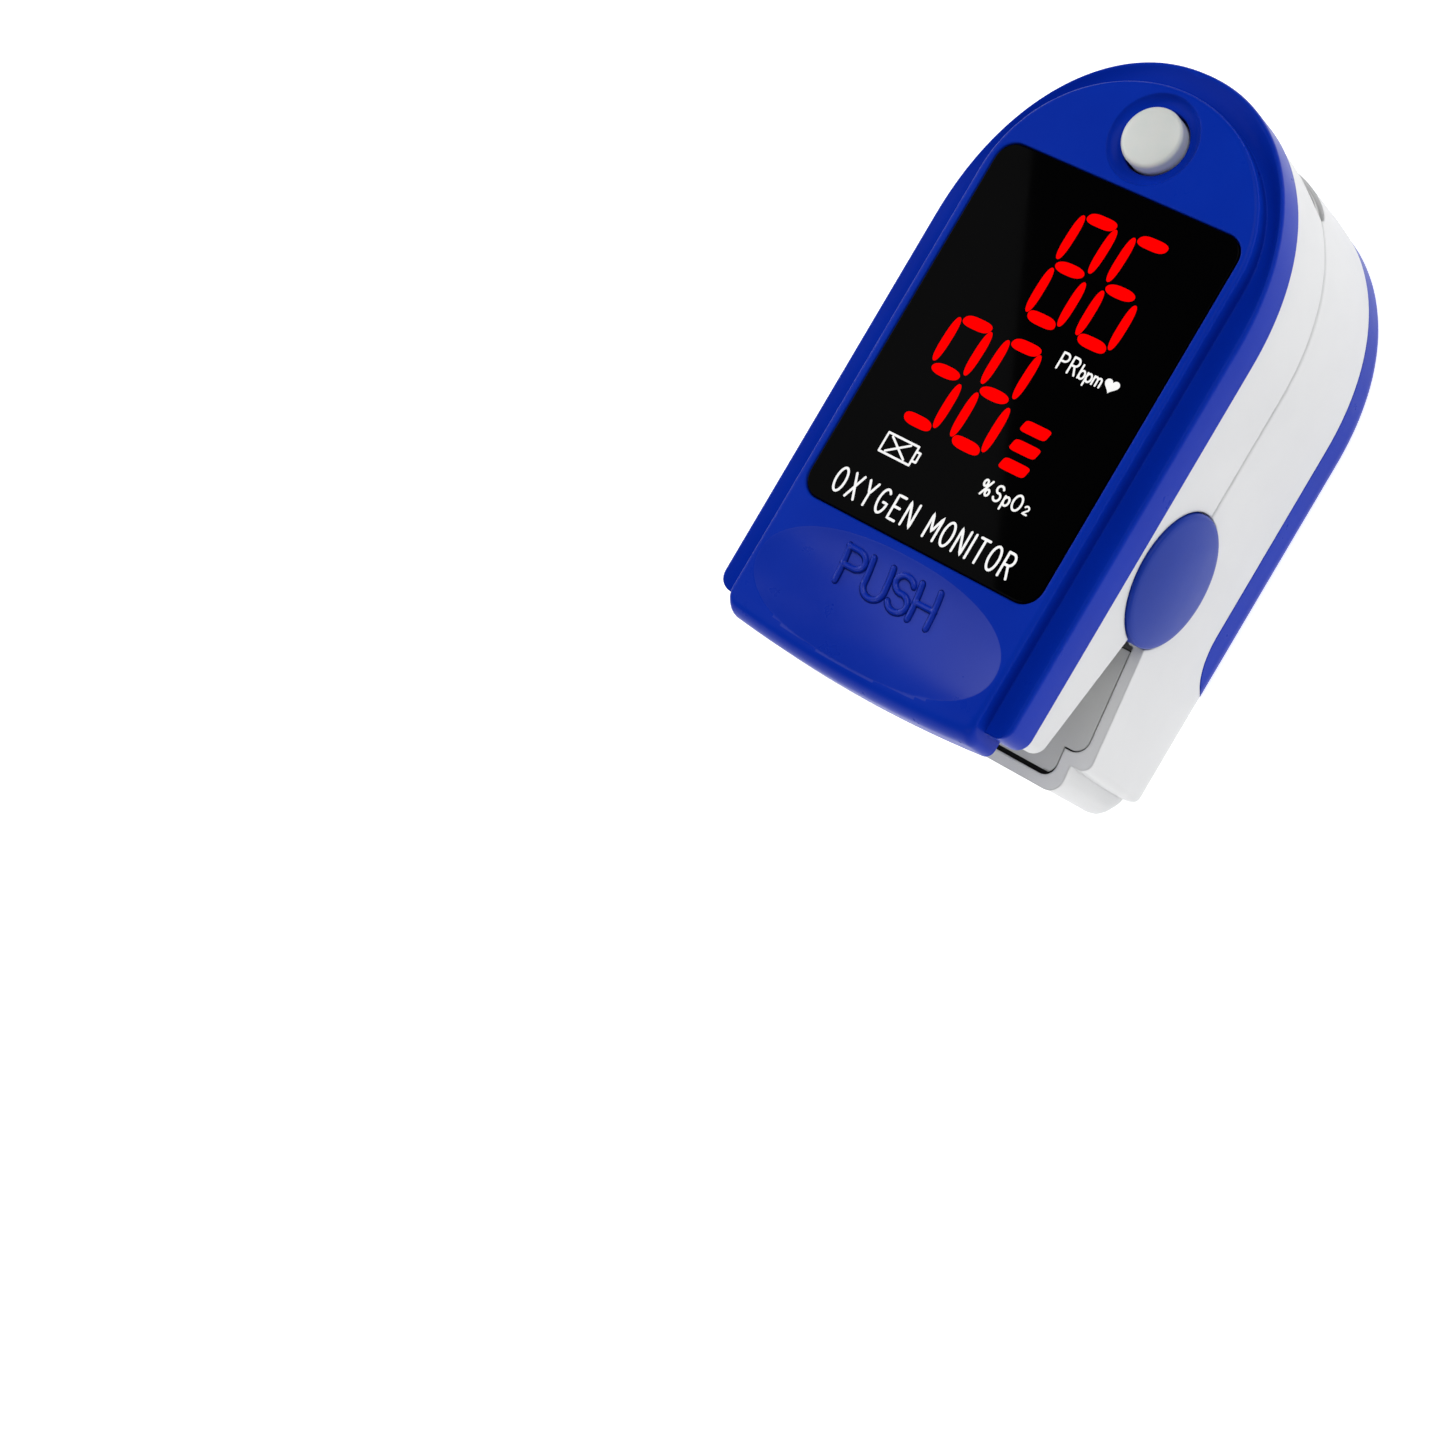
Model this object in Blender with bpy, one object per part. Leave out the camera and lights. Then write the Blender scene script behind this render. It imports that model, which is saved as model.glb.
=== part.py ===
"""Fingertip pulse oximeter: two hinged jaws, display head, battery bay and their fittings.

Frame: X across the width, +Y towards the finger opening, -Y the squeeze tail, +Z up.
The origin is under the middle of the closed body, on the surface that it rests on.
Lengths below are millimetres; MM turns them into Blender's metres.
"""

from math import copysign, cos, pi, sin, sqrt

import bmesh
import bpy
from mathutils import Matrix, Vector

MM = 0.001
GAP = 0.3            # air kept between pieces that touch on the real object
WALL = 1.6           # moulded wall thickness of the shells
RIM_CORNER = 2.85    # plan corner of the rim, before its inset
RIM_WALL = 1.05      # thinner rim of the lower shell round the squeeze notch
COVER_WALL = 1.3     # and of the battery cover's rim

# plan outline of the closed body: straight sides, a squared tail and a half-ellipse finger end
FLANGE_HALF = 16.0
END_CENTRE_Y = 9.0
END_DEPTH = 20.25
TAIL_CORNER = 1.4
END_POWER = 2.12       # a little squarer than an ellipse
PLATEAU_CORNER = 0.9
APRON_BOW = 0.65        # how far the apron's tail edge bows out at its middle
BOW_STEPS = 12
FLANGE_TAIL_Y = -27.6
BODY_INSET = 0.3     # the white shells stand this far inside the blue flange
BODY_TAIL_Y = -25.75  # tail of the lower shell's side walls
UPPER_TAIL_Y = -27.0  # tail of the upper shell

# heights
COVER_TOP_Z = 30.0
FLANGE_TOP_Z = 28.55
FLANGE_LOW_Z = 24.55
PARTING_Z = 16.8
BATTERY_COVER_Z = 4.5

# raised plateau of the top cover and what sits in it
PLATEAU_HALF = 13.55
PLATEAU_CENTRE_Y = 14.0
PLATEAU_DEPTH = 12.8
APRON_TAIL_Y = -29.25
WINDOW_HALF_X = 12.6
WINDOW_HALF_Y = 17.2
WINDOW_CORNER = 1.8
WINDOW_THICK = 1.1
BUTTON_Y = 22.0
BUTTON_R = 2.75
BUTTON_TOP_Z = 30.9

# hinge
AXIS_Y = -8.5
AXIS_Z = 17.3
CAP_R = 6.15
CAP_FACE_X = 16.6
AXLE_R = 1.0
UPPER_EAR_X = (11.4, 12.7)
LOWER_EAR_X = (13.0, 14.3)
EAR_R = 5.4
COIL_R = 2.2
COIL_X = (5.6, 9.5)  # where each torsion spring's coil starts and ends
WIRE_R = 0.35

# squeeze notch at the tail: where it starts beside the cap and the heights of its faces at each end
NOTCH_Y = -14.5
LINER_NOTCH_Y = -12.0
NOTCH_UPPER_Z = (18.75, 22.05)
NOTCH_LOWER_Z = (15.25, 12.0)

# lip across the tail of the lower shell, and the liner's tongue that sits in it
LIP_HALF = 13.8
TONGUE_HALF = 12.5
TONGUE_TAIL_Y = -27.4
TONGUE_LOW_Z = 10.9

# scoop in the apron that takes the squeezing finger
DISH_RADII = (15.9, 6.5, 3.4)
DISH_CENTRE = (0.0, -23.4, 32.0)

# finger tunnel: a flattened ellipse shared by both pads
TUNNEL_HALF = 9.2
TUNNEL_DOWN = 2.9
TUNNEL_UP = 3.4
PAD_THICK = 0.85
PAD_EDGE = 0.8       # how much wider the pad is than the tunnel, on each side
PAD_TAIL_Y = -4.4
SENSOR_Y = 8.0

# two AAA cells
CELL_R = 5.2
CELL_LONG = 43.2
NUB_R = 1.9
NUB_LONG = 0.8
CELL_X = 5.55
CELL_Z = 6.45
BAY_HALF = 11.0
BAY_Y = (-24.2, 22.4)
BAY_TOP_Z = 11.8

# display head inside the upper jaw
BOARD_Z = (23.3, 24.1)
BOARD_HALF = 10.2
MODULE_HALF = (11.3, 15.3)
ROOF_Z = 27.2        # underside of the top cover's roof

UPPER_SCREWS = ((12.6, -20.5), (10.95, 17.9))
LOWER_SCREWS = ((12.1, 2.5), (12.1, 13.5))

ARC_STEPS = 26
CORNER_STEPS = 4

COLOURS = {
    # name: (red, green, blue, roughness, metallic)
    "blue_plastic": (0.02, 0.045, 0.36, 0.38, 0.0),
    "white_plastic": (0.80, 0.80, 0.81, 0.45, 0.0),
    "button_white": (0.84, 0.85, 0.83, 0.35, 0.0),
    "grey_plastic": (0.25, 0.25, 0.26, 0.55, 0.0),
    "silicone": (0.10, 0.10, 0.11, 0.7, 0.0),
    "smoked_window": (0.004, 0.004, 0.005, 0.08, 0.0),
    "display_black": (0.02, 0.02, 0.02, 0.5, 0.0),
    "board_green": (0.01, 0.12, 0.05, 0.4, 0.0),
    "chip_black": (0.02, 0.02, 0.02, 0.5, 0.0),
    "clear_lens": (0.75, 0.78, 0.78, 0.1, 0.0),
    "steel": (0.56, 0.57, 0.58, 0.3, 1.0),
    "nickel": (0.62, 0.60, 0.56, 0.28, 1.0),
    "cell_wrap": (0.35, 0.36, 0.38, 0.35, 0.6),
    "flex_amber": (0.45, 0.20, 0.05, 0.45, 0.0),
}


# ---- scene, materials and small helpers

def clear_scene():
    for obj in list(bpy.data.objects):
        bpy.data.objects.remove(obj, do_unlink=True)


def material(name):
    found = bpy.data.materials.get(name)
    if found:
        return found
    red, green, blue, roughness, metallic = COLOURS[name]
    made = bpy.data.materials.new(name)
    made.use_nodes = True
    shader = made.node_tree.nodes["Principled BSDF"]
    shader.inputs["Base Color"].default_value = (red, green, blue, 1.0)
    shader.inputs["Roughness"].default_value = roughness
    shader.inputs["Metallic"].default_value = metallic
    return made


def add_mesh(name, bm, finish=None, smooth_angle=35.0, at=(0, 0, 0), parent=None):
    """Turns a bmesh built in millimetres into a named object in metres."""
    bmesh.ops.recalc_face_normals(bm, faces=bm.faces)
    bmesh.ops.scale(bm, vec=(MM, MM, MM), verts=bm.verts)
    mesh = bpy.data.meshes.new(name)
    bm.to_mesh(mesh)
    bm.free()
    mesh.shade_smooth()
    mesh.set_sharp_from_angle(angle=smooth_angle * pi / 180)
    obj = bpy.data.objects.new(name, mesh)
    bpy.context.scene.collection.objects.link(obj)
    obj.location = Vector(at) * MM
    if finish:
        mesh.materials.append(material(finish))
    if parent:
        obj.parent = parent
        obj.location -= parent.matrix_world.translation
    return obj


def add_empty(name, at):
    empty = bpy.data.objects.new(name, None)
    bpy.context.scene.collection.objects.link(empty)
    empty.empty_display_size = 5 * MM
    empty.location = Vector(at) * MM
    bpy.context.view_layer.update()
    return empty


def cutter(name, bm, at=(0, 0, 0), parent=None):
    obj = add_mesh(name, bm, at=at, parent=parent)
    obj.hide_render = True
    obj.display_type = "WIRE"
    return obj


def boolean(obj, other, operation):
    modifier = obj.modifiers.new(f"{operation.lower()}_{other.name}", "BOOLEAN")
    modifier.operation = operation
    modifier.object = other
    modifier.solver = "EXACT"


def cut(obj, *others):
    for other in others:
        boolean(obj, other, "DIFFERENCE")


def join(obj, *others):
    for other in others:
        boolean(obj, other, "UNION")


def keep_inside(obj, other):
    boolean(obj, other, "INTERSECT")


# ---- outlines and solids, all in millimetres

def body_outline(inset=0.0, half=FLANGE_HALF, tail=FLANGE_TAIL_Y, centre=END_CENTRE_Y,
                 depth=END_DEPTH, corner=TAIL_CORNER, power=END_POWER):
    """The plan outline, anticlockwise from the right tail corner, offset inwards by inset."""
    half -= inset
    tail += inset
    depth -= inset
    corner = max(corner - inset, 0.3)
    points = []
    for step in range(CORNER_STEPS + 1):
        angle = -pi / 2 + pi / 2 * step / CORNER_STEPS
        points.append((half - corner + corner * cos(angle), tail + corner + corner * sin(angle)))
    for step in range(ARC_STEPS + 1):
        angle = pi * step / ARC_STEPS
        across = copysign(abs(cos(angle)) ** (2 / power), cos(angle))
        points.append((half * across, centre + depth * abs(sin(angle)) ** (2 / power)))
    for step in range(CORNER_STEPS + 1):
        angle = pi + pi / 2 * step / CORNER_STEPS
        points.append((-half + corner + corner * cos(angle), tail + corner + corner * sin(angle)))
    return points


def shell_outline(inset=0.0, tail=BODY_TAIL_Y):
    return body_outline(inset + BODY_INSET, tail=tail - BODY_INSET)


def plateau_outline(inset=0.0, set_back=0.0):
    """The plateau's outline; set_back draws only its tail edge in, for the apron's sloping front."""
    points = body_outline(inset, half=PLATEAU_HALF, tail=APRON_TAIL_Y + set_back,
                          centre=PLATEAU_CENTRE_Y, depth=PLATEAU_DEPTH, corner=PLATEAU_CORNER, power=2.0)
    reach, tail = points[0]
    for step in range(1, BOW_STEPS):
        share = 2 * step / BOW_STEPS - 1
        points.append((reach * share, tail - APRON_BOW * (1 - share * share)))
    return points


def notch_zone_outline(inset, front):
    """The shell's outline cut off at front, so that only its tail end is left."""
    outline = body_outline(inset + BODY_INSET, tail=BODY_TAIL_Y - BODY_INSET, corner=RIM_CORNER)
    tail_end = [point for point in outline if point[1] < front]
    middle = CORNER_STEPS + 1
    right = tail_end[middle - 1][0]
    return tail_end[:middle] + [(right, front), (-right, front)] + tail_end[middle:]


def round_rectangle(half_x, half_y, corner, centre=(0.0, 0.0)):
    points = []
    for turn, (sx, sy) in enumerate(((1, -1), (1, 1), (-1, 1), (-1, -1))):
        for step in range(CORNER_STEPS + 1):
            angle = -pi / 2 + pi / 2 * (turn + step / CORNER_STEPS)
            points.append((centre[0] + sx * (half_x - corner) + corner * cos(angle),
                           centre[1] + sy * (half_y - corner) + corner * sin(angle)))
    return points


def circle(radius, steps=24, centre=(0.0, 0.0)):
    return [(centre[0] + radius * cos(2 * pi * step / steps),
             centre[1] + radius * sin(2 * pi * step / steps)) for step in range(steps)]


def loft(levels):
    """A closed solid through flat loops with equal point counts: [(outline, z), ...] going up."""
    bm = bmesh.new()
    rings = [[bm.verts.new((x, y, z)) for x, y in outline] for outline, z in levels]
    for low, high in zip(rings, rings[1:]):
        for i, corner in enumerate(low):
            j = (i + 1) % len(low)
            bm.faces.new((corner, low[j], high[j], high[i]))
    bm.faces.new(rings[0][::-1])
    bm.faces.new(rings[-1])
    return bm


def prism(outline, low, high):
    return loft([(outline, low), (outline, high)])


def box(low, high):
    bm = bmesh.new()
    size = [b - a for a, b in zip(low, high)]
    middle = [(a + b) / 2 for a, b in zip(low, high)]
    bmesh.ops.create_cube(bm, size=1.0, matrix=Matrix.Translation(middle) @ Matrix.Diagonal((*size, 1)))
    return bm


def along_x(bm):
    """Turns a solid made upright on Z so that it lies along X: (x, y, z) becomes (z, x, y)."""
    turn = Matrix(((0, 0, 1, 0), (1, 0, 0, 0), (0, 1, 0, 0), (0, 0, 0, 1)))
    bmesh.ops.transform(bm, matrix=turn, verts=bm.verts)
    return bm


def along_y(bm):
    """Turns a solid made upright on Z so that it lies along Y: (x, y, z) becomes (y, z, x)."""
    turn = Matrix(((0, 1, 0, 0), (0, 0, 1, 0), (1, 0, 0, 0), (0, 0, 0, 1)))
    bmesh.ops.transform(bm, matrix=turn, verts=bm.verts)
    return bm


def side_prism(profile, half_x):
    """A (y, z) profile carried across the width."""
    return along_x(prism(profile, -half_x, half_x))


def rod_x(radius, x_low, x_high, steps=24):
    """A rod along X whose middle line is the hinge axis."""
    return along_x(prism(circle(radius, steps, (AXIS_Y, AXIS_Z)), x_low, x_high))


def ear_tab(radius, root_z, x_range, steps=16):
    """A hinge ear: half round about the hinge axis, with straight sides running to root_z."""
    way = 1 if root_z < AXIS_Z else -1
    points = [(AXIS_Y + radius * cos(pi * step / steps), AXIS_Z + way * radius * sin(pi * step / steps))
              for step in range(steps + 1)]
    points += [(AXIS_Y - radius, root_z), (AXIS_Y + radius, root_z)]
    return along_x(prism(points[::way], *x_range))


def rod_z(radius, low, high, at, steps=16):
    return prism(circle(radius, steps, at), low, high)


def lathe(profile, steps=24):
    """Spins a (radius, z) profile, from its foot on the axis to its top on the axis, round Z."""
    bm = bmesh.new()
    verts = [bm.verts.new((radius, 0, z)) for radius, z in profile]
    edges = [bm.edges.new(pair) for pair in zip(verts, verts[1:])]
    bmesh.ops.spin(bm, geom=verts + edges, cent=(0, 0, 0), axis=(0, 0, 1), angle=2 * pi,
                   steps=steps, use_merge=True)
    bmesh.ops.remove_doubles(bm, verts=bm.verts, dist=0.001)
    return bm


def tunnel(half, down, up, y_low, y_high, steps=28):
    """The finger tunnel's section: half ellipses above and below the parting plane, along Y."""
    points = []
    for step in range(steps):
        angle = 2 * pi * (step + 0.5) / steps
        rise = up if sin(angle) > 0 else down
        points.append((PARTING_Z + rise * sin(angle), half * cos(angle)))
    return along_y(prism(points[::-1], y_low, y_high))


def wire(name, points, radius, finish, parent=None, sides=2):
    """A round wire through points, as a bevelled curve with capped ends."""
    curve = bpy.data.curves.new(name, "CURVE")
    curve.dimensions = "3D"
    curve.bevel_depth = radius * MM
    curve.bevel_resolution = sides
    curve.use_fill_caps = True
    spline = curve.splines.new("POLY")
    spline.points.add(len(points) - 1)
    origin = parent.matrix_world.translation if parent else Vector((0, 0, 0))
    for target, point in zip(spline.points, points):
        target.co = (*(Vector(point) * MM - origin), 1.0)
    curve.materials.append(material(finish))
    obj = bpy.data.objects.new(name, curve)
    bpy.context.scene.collection.objects.link(obj)
    obj.parent = parent
    return obj


def notch_line(heights, y, shift=0.0):
    """Height of a squeeze-notch face at y."""
    slope = (heights[1] - heights[0]) / (FLANGE_TAIL_Y - NOTCH_Y)
    return heights[0] + slope * (y - NOTCH_Y) + shift


# ---- upper jaw: top cover, window, button

def make_top_cover(jaw):
    cover = add_mesh("top_cover", loft([
        (body_outline(0.35), FLANGE_LOW_Z),
        (body_outline(), FLANGE_LOW_Z + 0.35),
        (body_outline(), FLANGE_TOP_Z - 0.6),
        (body_outline(0.2), FLANGE_TOP_Z - 0.2),
        (body_outline(0.7), FLANGE_TOP_Z),
    ]), "blue_plastic", parent=jaw)
    plateau = cutter("plateau", loft([
        (plateau_outline(0.3), FLANGE_LOW_Z + 0.02),
        (plateau_outline(), FLANGE_LOW_Z + 0.4),
        (plateau_outline(0.0, 0.2), 27.2),
        (plateau_outline(0.0, 0.6), 28.5),
        (plateau_outline(0.0, 1.1), 29.2),
        (plateau_outline(0.0, 1.45), COVER_TOP_Z - 0.5),
        (plateau_outline(0.15, 1.9), COVER_TOP_Z - 0.15),
        (plateau_outline(0.5, 2.3), COVER_TOP_Z),
    ]), parent=jaw)
    inside = cutter("cover_inside", prism(body_outline(WALL, corner=1.5), FLANGE_LOW_Z - 1, ROOF_Z),
                    parent=jaw)
    bosses = []
    for i, (x, y) in enumerate(UPPER_SCREWS):
        for side in (1, -1):
            bosses.append(cutter(f"cover_boss_{i}_{side}", lathe([
                (0, ROOF_Z - 0.1), (0.95, ROOF_Z - 0.1), (0.95, FLANGE_LOW_Z + 0.1),
                (1.65, FLANGE_LOW_Z + 0.1), (1.65, ROOF_Z + 0.4), (0, ROOF_Z + 0.4),
            ], 14), at=(side * x, y, 0), parent=jaw))
    window_seat = cutter("window_seat", prism(
        round_rectangle(WINDOW_HALF_X + 0.15, WINDOW_HALF_Y + 0.15, WINDOW_CORNER + 0.15),
        COVER_TOP_Z - WINDOW_THICK - 0.15, COVER_TOP_Z + 1), parent=jaw)
    module_hole = cutter("module_hole", prism(
        round_rectangle(MODULE_HALF[0] + 0.35, MODULE_HALF[1] + 0.35, 1.0),
        ROOF_Z - 1, COVER_TOP_Z), parent=jaw)
    dish = thumb_dish(jaw)
    button_well = cutter("button_well", lathe([
        (0, ROOF_Z - 1), (BUTTON_R + 0.25, ROOF_Z - 1), (BUTTON_R + 0.25, COVER_TOP_Z - 0.7),
        (BUTTON_R + 0.9, COVER_TOP_Z - 0.4),
        (BUTTON_R + 1.35, COVER_TOP_Z + 0.05),
        (BUTTON_R + 1.35, COVER_TOP_Z + 1), (0, COVER_TOP_Z + 1),
    ], 28), at=(0, BUTTON_Y, 0), parent=jaw)
    join(cover, plateau)
    cut(cover, inside)
    join(cover, *bosses)
    cut(cover, window_seat, module_hole, dish, button_well)


def thumb_dish(jaw):
    """A shallow lens scooped out of the apron, where a finger squeezes the jaws open."""
    bm = bmesh.new()
    bmesh.ops.create_uvsphere(bm, u_segments=32, v_segments=16, radius=1.0)
    bmesh.ops.scale(bm, vec=DISH_RADII, verts=bm.verts)
    return cutter("thumb_dish", bm, at=DISH_CENTRE, parent=jaw)


def make_window(jaw):
    add_mesh("display_window", loft([
        (round_rectangle(WINDOW_HALF_X, WINDOW_HALF_Y, WINDOW_CORNER), COVER_TOP_Z - WINDOW_THICK),
        (round_rectangle(WINDOW_HALF_X, WINDOW_HALF_Y, WINDOW_CORNER), COVER_TOP_Z - 0.1),
        (round_rectangle(WINDOW_HALF_X - 0.1, WINDOW_HALF_Y - 0.1, WINDOW_CORNER - 0.1), COVER_TOP_Z),
    ]), "smoked_window", parent=jaw)


def make_button():
    guide = add_empty("power_button_travel", (0, BUTTON_Y, BUTTON_TOP_Z))
    foot = ROOF_Z - 1.1
    at = (0, BUTTON_Y, 0)
    add_mesh("power_button", lathe([
        (0, foot), (3.5, foot), (3.5, foot + 0.7), (BUTTON_R, foot + 0.7), (BUTTON_R, 30.05),
        (BUTTON_R - 0.2, 30.45), (BUTTON_R - 0.65, 30.72),
        (1.1, BUTTON_TOP_Z - 0.04), (0, BUTTON_TOP_Z),
    ], 28), "button_white", at=at, parent=guide)
    add_mesh("switch_plunger", lathe([
        (0, 25.0), (0.8, 25.0), (0.8, foot - 0.25), (0.6, foot - 0.1), (0, foot - 0.1),
    ], 14), "chip_black", at=at, parent=guide)


def make_display_head(jaw):
    board = add_mesh("main_board", prism(
        body_outline(0, BOARD_HALF, -20.0, PLATEAU_CENTRE_Y, 11.5, 1.5), *BOARD_Z),
        "board_green", parent=jaw)
    cut(board, cutter("board_slot", box((-2.2, -13.4, 22), (2.2, -11.0, 25)), parent=jaw))
    finger_x, finger_y = UPPER_SCREWS[1]
    for side in (1, -1):
        cut(board, cutter(f"board_notch_{side}", rod_z(2.0, 22, 25, (side * finger_x, finger_y)),
                          parent=jaw))
    module = add_mesh("digit_module", prism(
        round_rectangle(*MODULE_HALF, 0.8), BOARD_Z[1] + 0.2, COVER_TOP_Z - WINDOW_THICK - 0.25),
        "display_black", parent=jaw)
    cut(module, cutter("module_face", prism(
        round_rectangle(MODULE_HALF[0] - 0.9, MODULE_HALF[1] - 0.9, 0.6),
        COVER_TOP_Z - WINDOW_THICK - 0.6, COVER_TOP_Z), parent=jaw))
    under = BOARD_Z[0] - 0.1
    for name, half, centre in (("controller_chip", (3.5, 3.5), (0, -4.0)),
                               ("amplifier_chip", (2.0, 2.5), (-6.0, 16.0))):
        add_mesh(name, prism(round_rectangle(*half, 0.25, centre), under - 0.85, under),
                 "chip_black", parent=jaw)
    switch = add_mesh("power_switch", prism(
        round_rectangle(2.3, 2.3, 0.3, (0, BUTTON_Y)), BOARD_Z[1] + 0.1, 25.55), "nickel", parent=jaw)
    cut(switch, cutter("switch_bore", rod_z(1.0, 24.5, 27, (0, BUTTON_Y)), parent=jaw))


def make_upper_shell(jaw):
    top = FLANGE_LOW_Z - 0.15
    low = PARTING_Z + 0.15
    shell = add_mesh("upper_shell", loft([
        (shell_outline(0.5, UPPER_TAIL_Y), low),
        (shell_outline(0.25, UPPER_TAIL_Y), low + 0.35),
        (shell_outline(0.0, UPPER_TAIL_Y), top - 2.5),
        (shell_outline(0.0, UPPER_TAIL_Y), top),
    ]), "white_plastic", parent=jaw)
    inside = cutter("upper_inside", prism(shell_outline(WALL, UPPER_TAIL_Y), low - 1, top + 1),
                    parent=jaw)
    tail = BODY_TAIL_Y - 3
    notch = cutter("upper_notch", side_prism([
        (NOTCH_Y, low - 2), (NOTCH_Y, NOTCH_UPPER_Z[0]), (tail, notch_line(NOTCH_UPPER_Z, tail)),
        (tail, low - 2),
    ], 20), parent=jaw)
    arch = cutter("upper_arch", tunnel(
        TUNNEL_HALF + PAD_EDGE + GAP, 5, TUNNEL_UP + PAD_THICK + GAP, 18, 34), parent=jaw)
    cap_seats = [cutter(f"upper_cap_seat_{side}",
                        rod_x(CAP_R + GAP, *sorted((side * 12.9, side * 18)), 40),
                        parent=jaw) for side in (1, -1)]
    cut(shell, inside, notch, arch, *cap_seats)
    for side in (1, -1):
        ear_x = sorted(side * x for x in UPPER_EAR_X)
        ear = cutter(f"upper_ear_{side}", ear_tab(EAR_R, top - 0.1, ear_x), parent=jaw)
        rib_x = sorted((side * UPPER_EAR_X[0], side * 14.8))
        rib = cutter(f"upper_rib_{side}", box((rib_x[0] - 0.1, AXIS_Y - 6, AXIS_Z + CAP_R + 0.35),
                                              (rib_x[1] + 0.1, AXIS_Y + 6, top - 0.2)), parent=jaw)
        join(shell, rib, ear)
        for i, (x, y) in enumerate(UPPER_SCREWS):
            join(shell, cutter(f"upper_boss_{i}_{side}", rod_z(1.7, 21.0, top - 0.05, (side * x, y)),
                               parent=jaw))
            cut(shell, cutter(f"upper_bore_{i}_{side}", rod_z(0.95, 20, top + 1, (side * x, y), 12),
                              parent=jaw))
    cut(shell, cutter("upper_axle_bore", rod_x(AXLE_R + 0.2, -13, 13, 16), parent=jaw))


def hinge_clearances(prefix, parent, leg_x):
    """Slots in a liner for the ears, the torsion springs, their legs and the flat cable."""
    cutters = [cutter(f"{prefix}_spring_room", rod_x(COIL_R + 1.3, -11.3, 11.3, 24), parent=parent),
               cutter(f"{prefix}_cable_slot", box((-2.1, -14.4, 9), (2.1, -10.6, 26)), parent=parent)]
    for side in (1, -1):
        x_low, x_high = sorted((side * 11.0, side * 18))
        cutters.append(cutter(f"{prefix}_ear_room_{side}",
                              box((x_low, AXIS_Y - 6.6, 9), (x_high, AXIS_Y + 6.6, 26)), parent=parent))
        cutters.append(cutter(f"{prefix}_leg_room_{side}",
                              box((side * leg_x - 0.9, -18.5, AXIS_Z - 3.1),
                                  (side * leg_x + 0.9, AXIS_Y, AXIS_Z + 3.1)), parent=parent))
    return cutters


def make_upper_liner(jaw):
    low = PARTING_Z + 0.7
    liner = add_mesh("upper_liner", prism(shell_outline(WALL + GAP, UPPER_TAIL_Y), low, 22.2),
                     "grey_plastic", parent=jaw)
    tail = BODY_TAIL_Y - 3
    notch = cutter("upper_liner_notch", side_prism([
        (LINER_NOTCH_Y, low - 2), (LINER_NOTCH_Y, notch_line(NOTCH_UPPER_Z, LINER_NOTCH_Y, 0.3)),
        (tail, notch_line(NOTCH_UPPER_Z, tail, 0.3)), (tail, low - 2),
    ], 20), parent=jaw)
    pocket = cutter("upper_pocket", tunnel(
        TUNNEL_HALF + PAD_EDGE + GAP, 5, TUNNEL_UP + PAD_THICK + GAP, PAD_TAIL_Y - GAP, 34), parent=jaw)
    sensor = cutter("upper_sensor_hole", prism(round_rectangle(3.0, 3.0, 0.5, (0, SENSOR_Y)), 19, 24),
                    parent=jaw)
    cut(liner, notch, pocket, sensor, *hinge_clearances("upper_liner", jaw, COIL_X[1]))
    for i, (x, y) in enumerate(UPPER_SCREWS):
        for side in (1, -1):
            cut(liner, cutter(f"upper_well_{i}_{side}", rod_z(2.05, 19.6, 24, (side * x, y)),
                              parent=jaw))


def make_pad(name, upper, parent):
    """A silicone trough with a thin flange that lies on the liner round the finger tunnel."""
    rise = 1 if upper else -1
    face = PARTING_Z + rise * 0.25
    far = PARTING_Z + rise * 9
    flange = sorted((face, PARTING_Z + rise * 0.6))
    depth = (TUNNEL_UP if upper else TUNNEL_DOWN) + PAD_THICK
    pad = add_mesh(name, tunnel(TUNNEL_HALF + PAD_EDGE, depth, depth, PAD_TAIL_Y, 34), "silicone",
                   parent=parent)
    half_space = cutter(f"{name}_half", box((-20, -20, min(face, far)), (20, 40, max(face, far))),
                        parent=parent)
    outline = cutter(f"{name}_outline", prism(shell_outline(1.0), 8, 26), parent=parent)
    lip = cutter(f"{name}_lip", prism(shell_outline(WALL + 2 * GAP), *flange), parent=parent)
    lip_end = cutter(f"{name}_lip_end", box((-20, -40, 8), (20, PAD_TAIL_Y + 3.2, 26)), parent=parent)
    keep_inside(pad, half_space)
    keep_inside(pad, outline)
    cut(lip, lip_end)
    join(pad, lip)
    cut(pad, cutter(f"{name}_groove", tunnel(
        TUNNEL_HALF, TUNNEL_DOWN, TUNNEL_UP, PAD_TAIL_Y + 1.4, 34), parent=parent))
    cut(pad, cutter(f"{name}_sensor", prism(
        round_rectangle(2.9, 2.9, 0.4, (0, SENSOR_Y)), 12, 23), parent=parent))


def make_sensor_optics(jaw):
    """Light source below the finger and photodiode above it, each behind a clear lens."""
    centre = (0, SENSOR_Y)
    lens = round_rectangle(2.7, 2.7, 0.3, centre)
    low = PARTING_Z - TUNNEL_DOWN
    high = PARTING_Z + TUNNEL_UP
    add_mesh("lower_sensor_lens", prism(lens, low - 0.45, low - 0.05), "clear_lens")
    add_mesh("emitter_led", prism(round_rectangle(1.5, 1.5, 0.2, centre), 12.55, low - 0.55),
             "clear_lens")
    add_mesh("emitter_board", prism(round_rectangle(2.6, 2.6, 0.3, centre), 12.0, 12.45), "board_green")
    add_mesh("upper_sensor_lens", prism(lens, high + 0.05, high + 0.45), "clear_lens", parent=jaw)
    add_mesh("photodiode", prism(round_rectangle(2.0, 2.0, 0.2, centre), high + 0.55, 22.0),
             "chip_black", parent=jaw)


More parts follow.
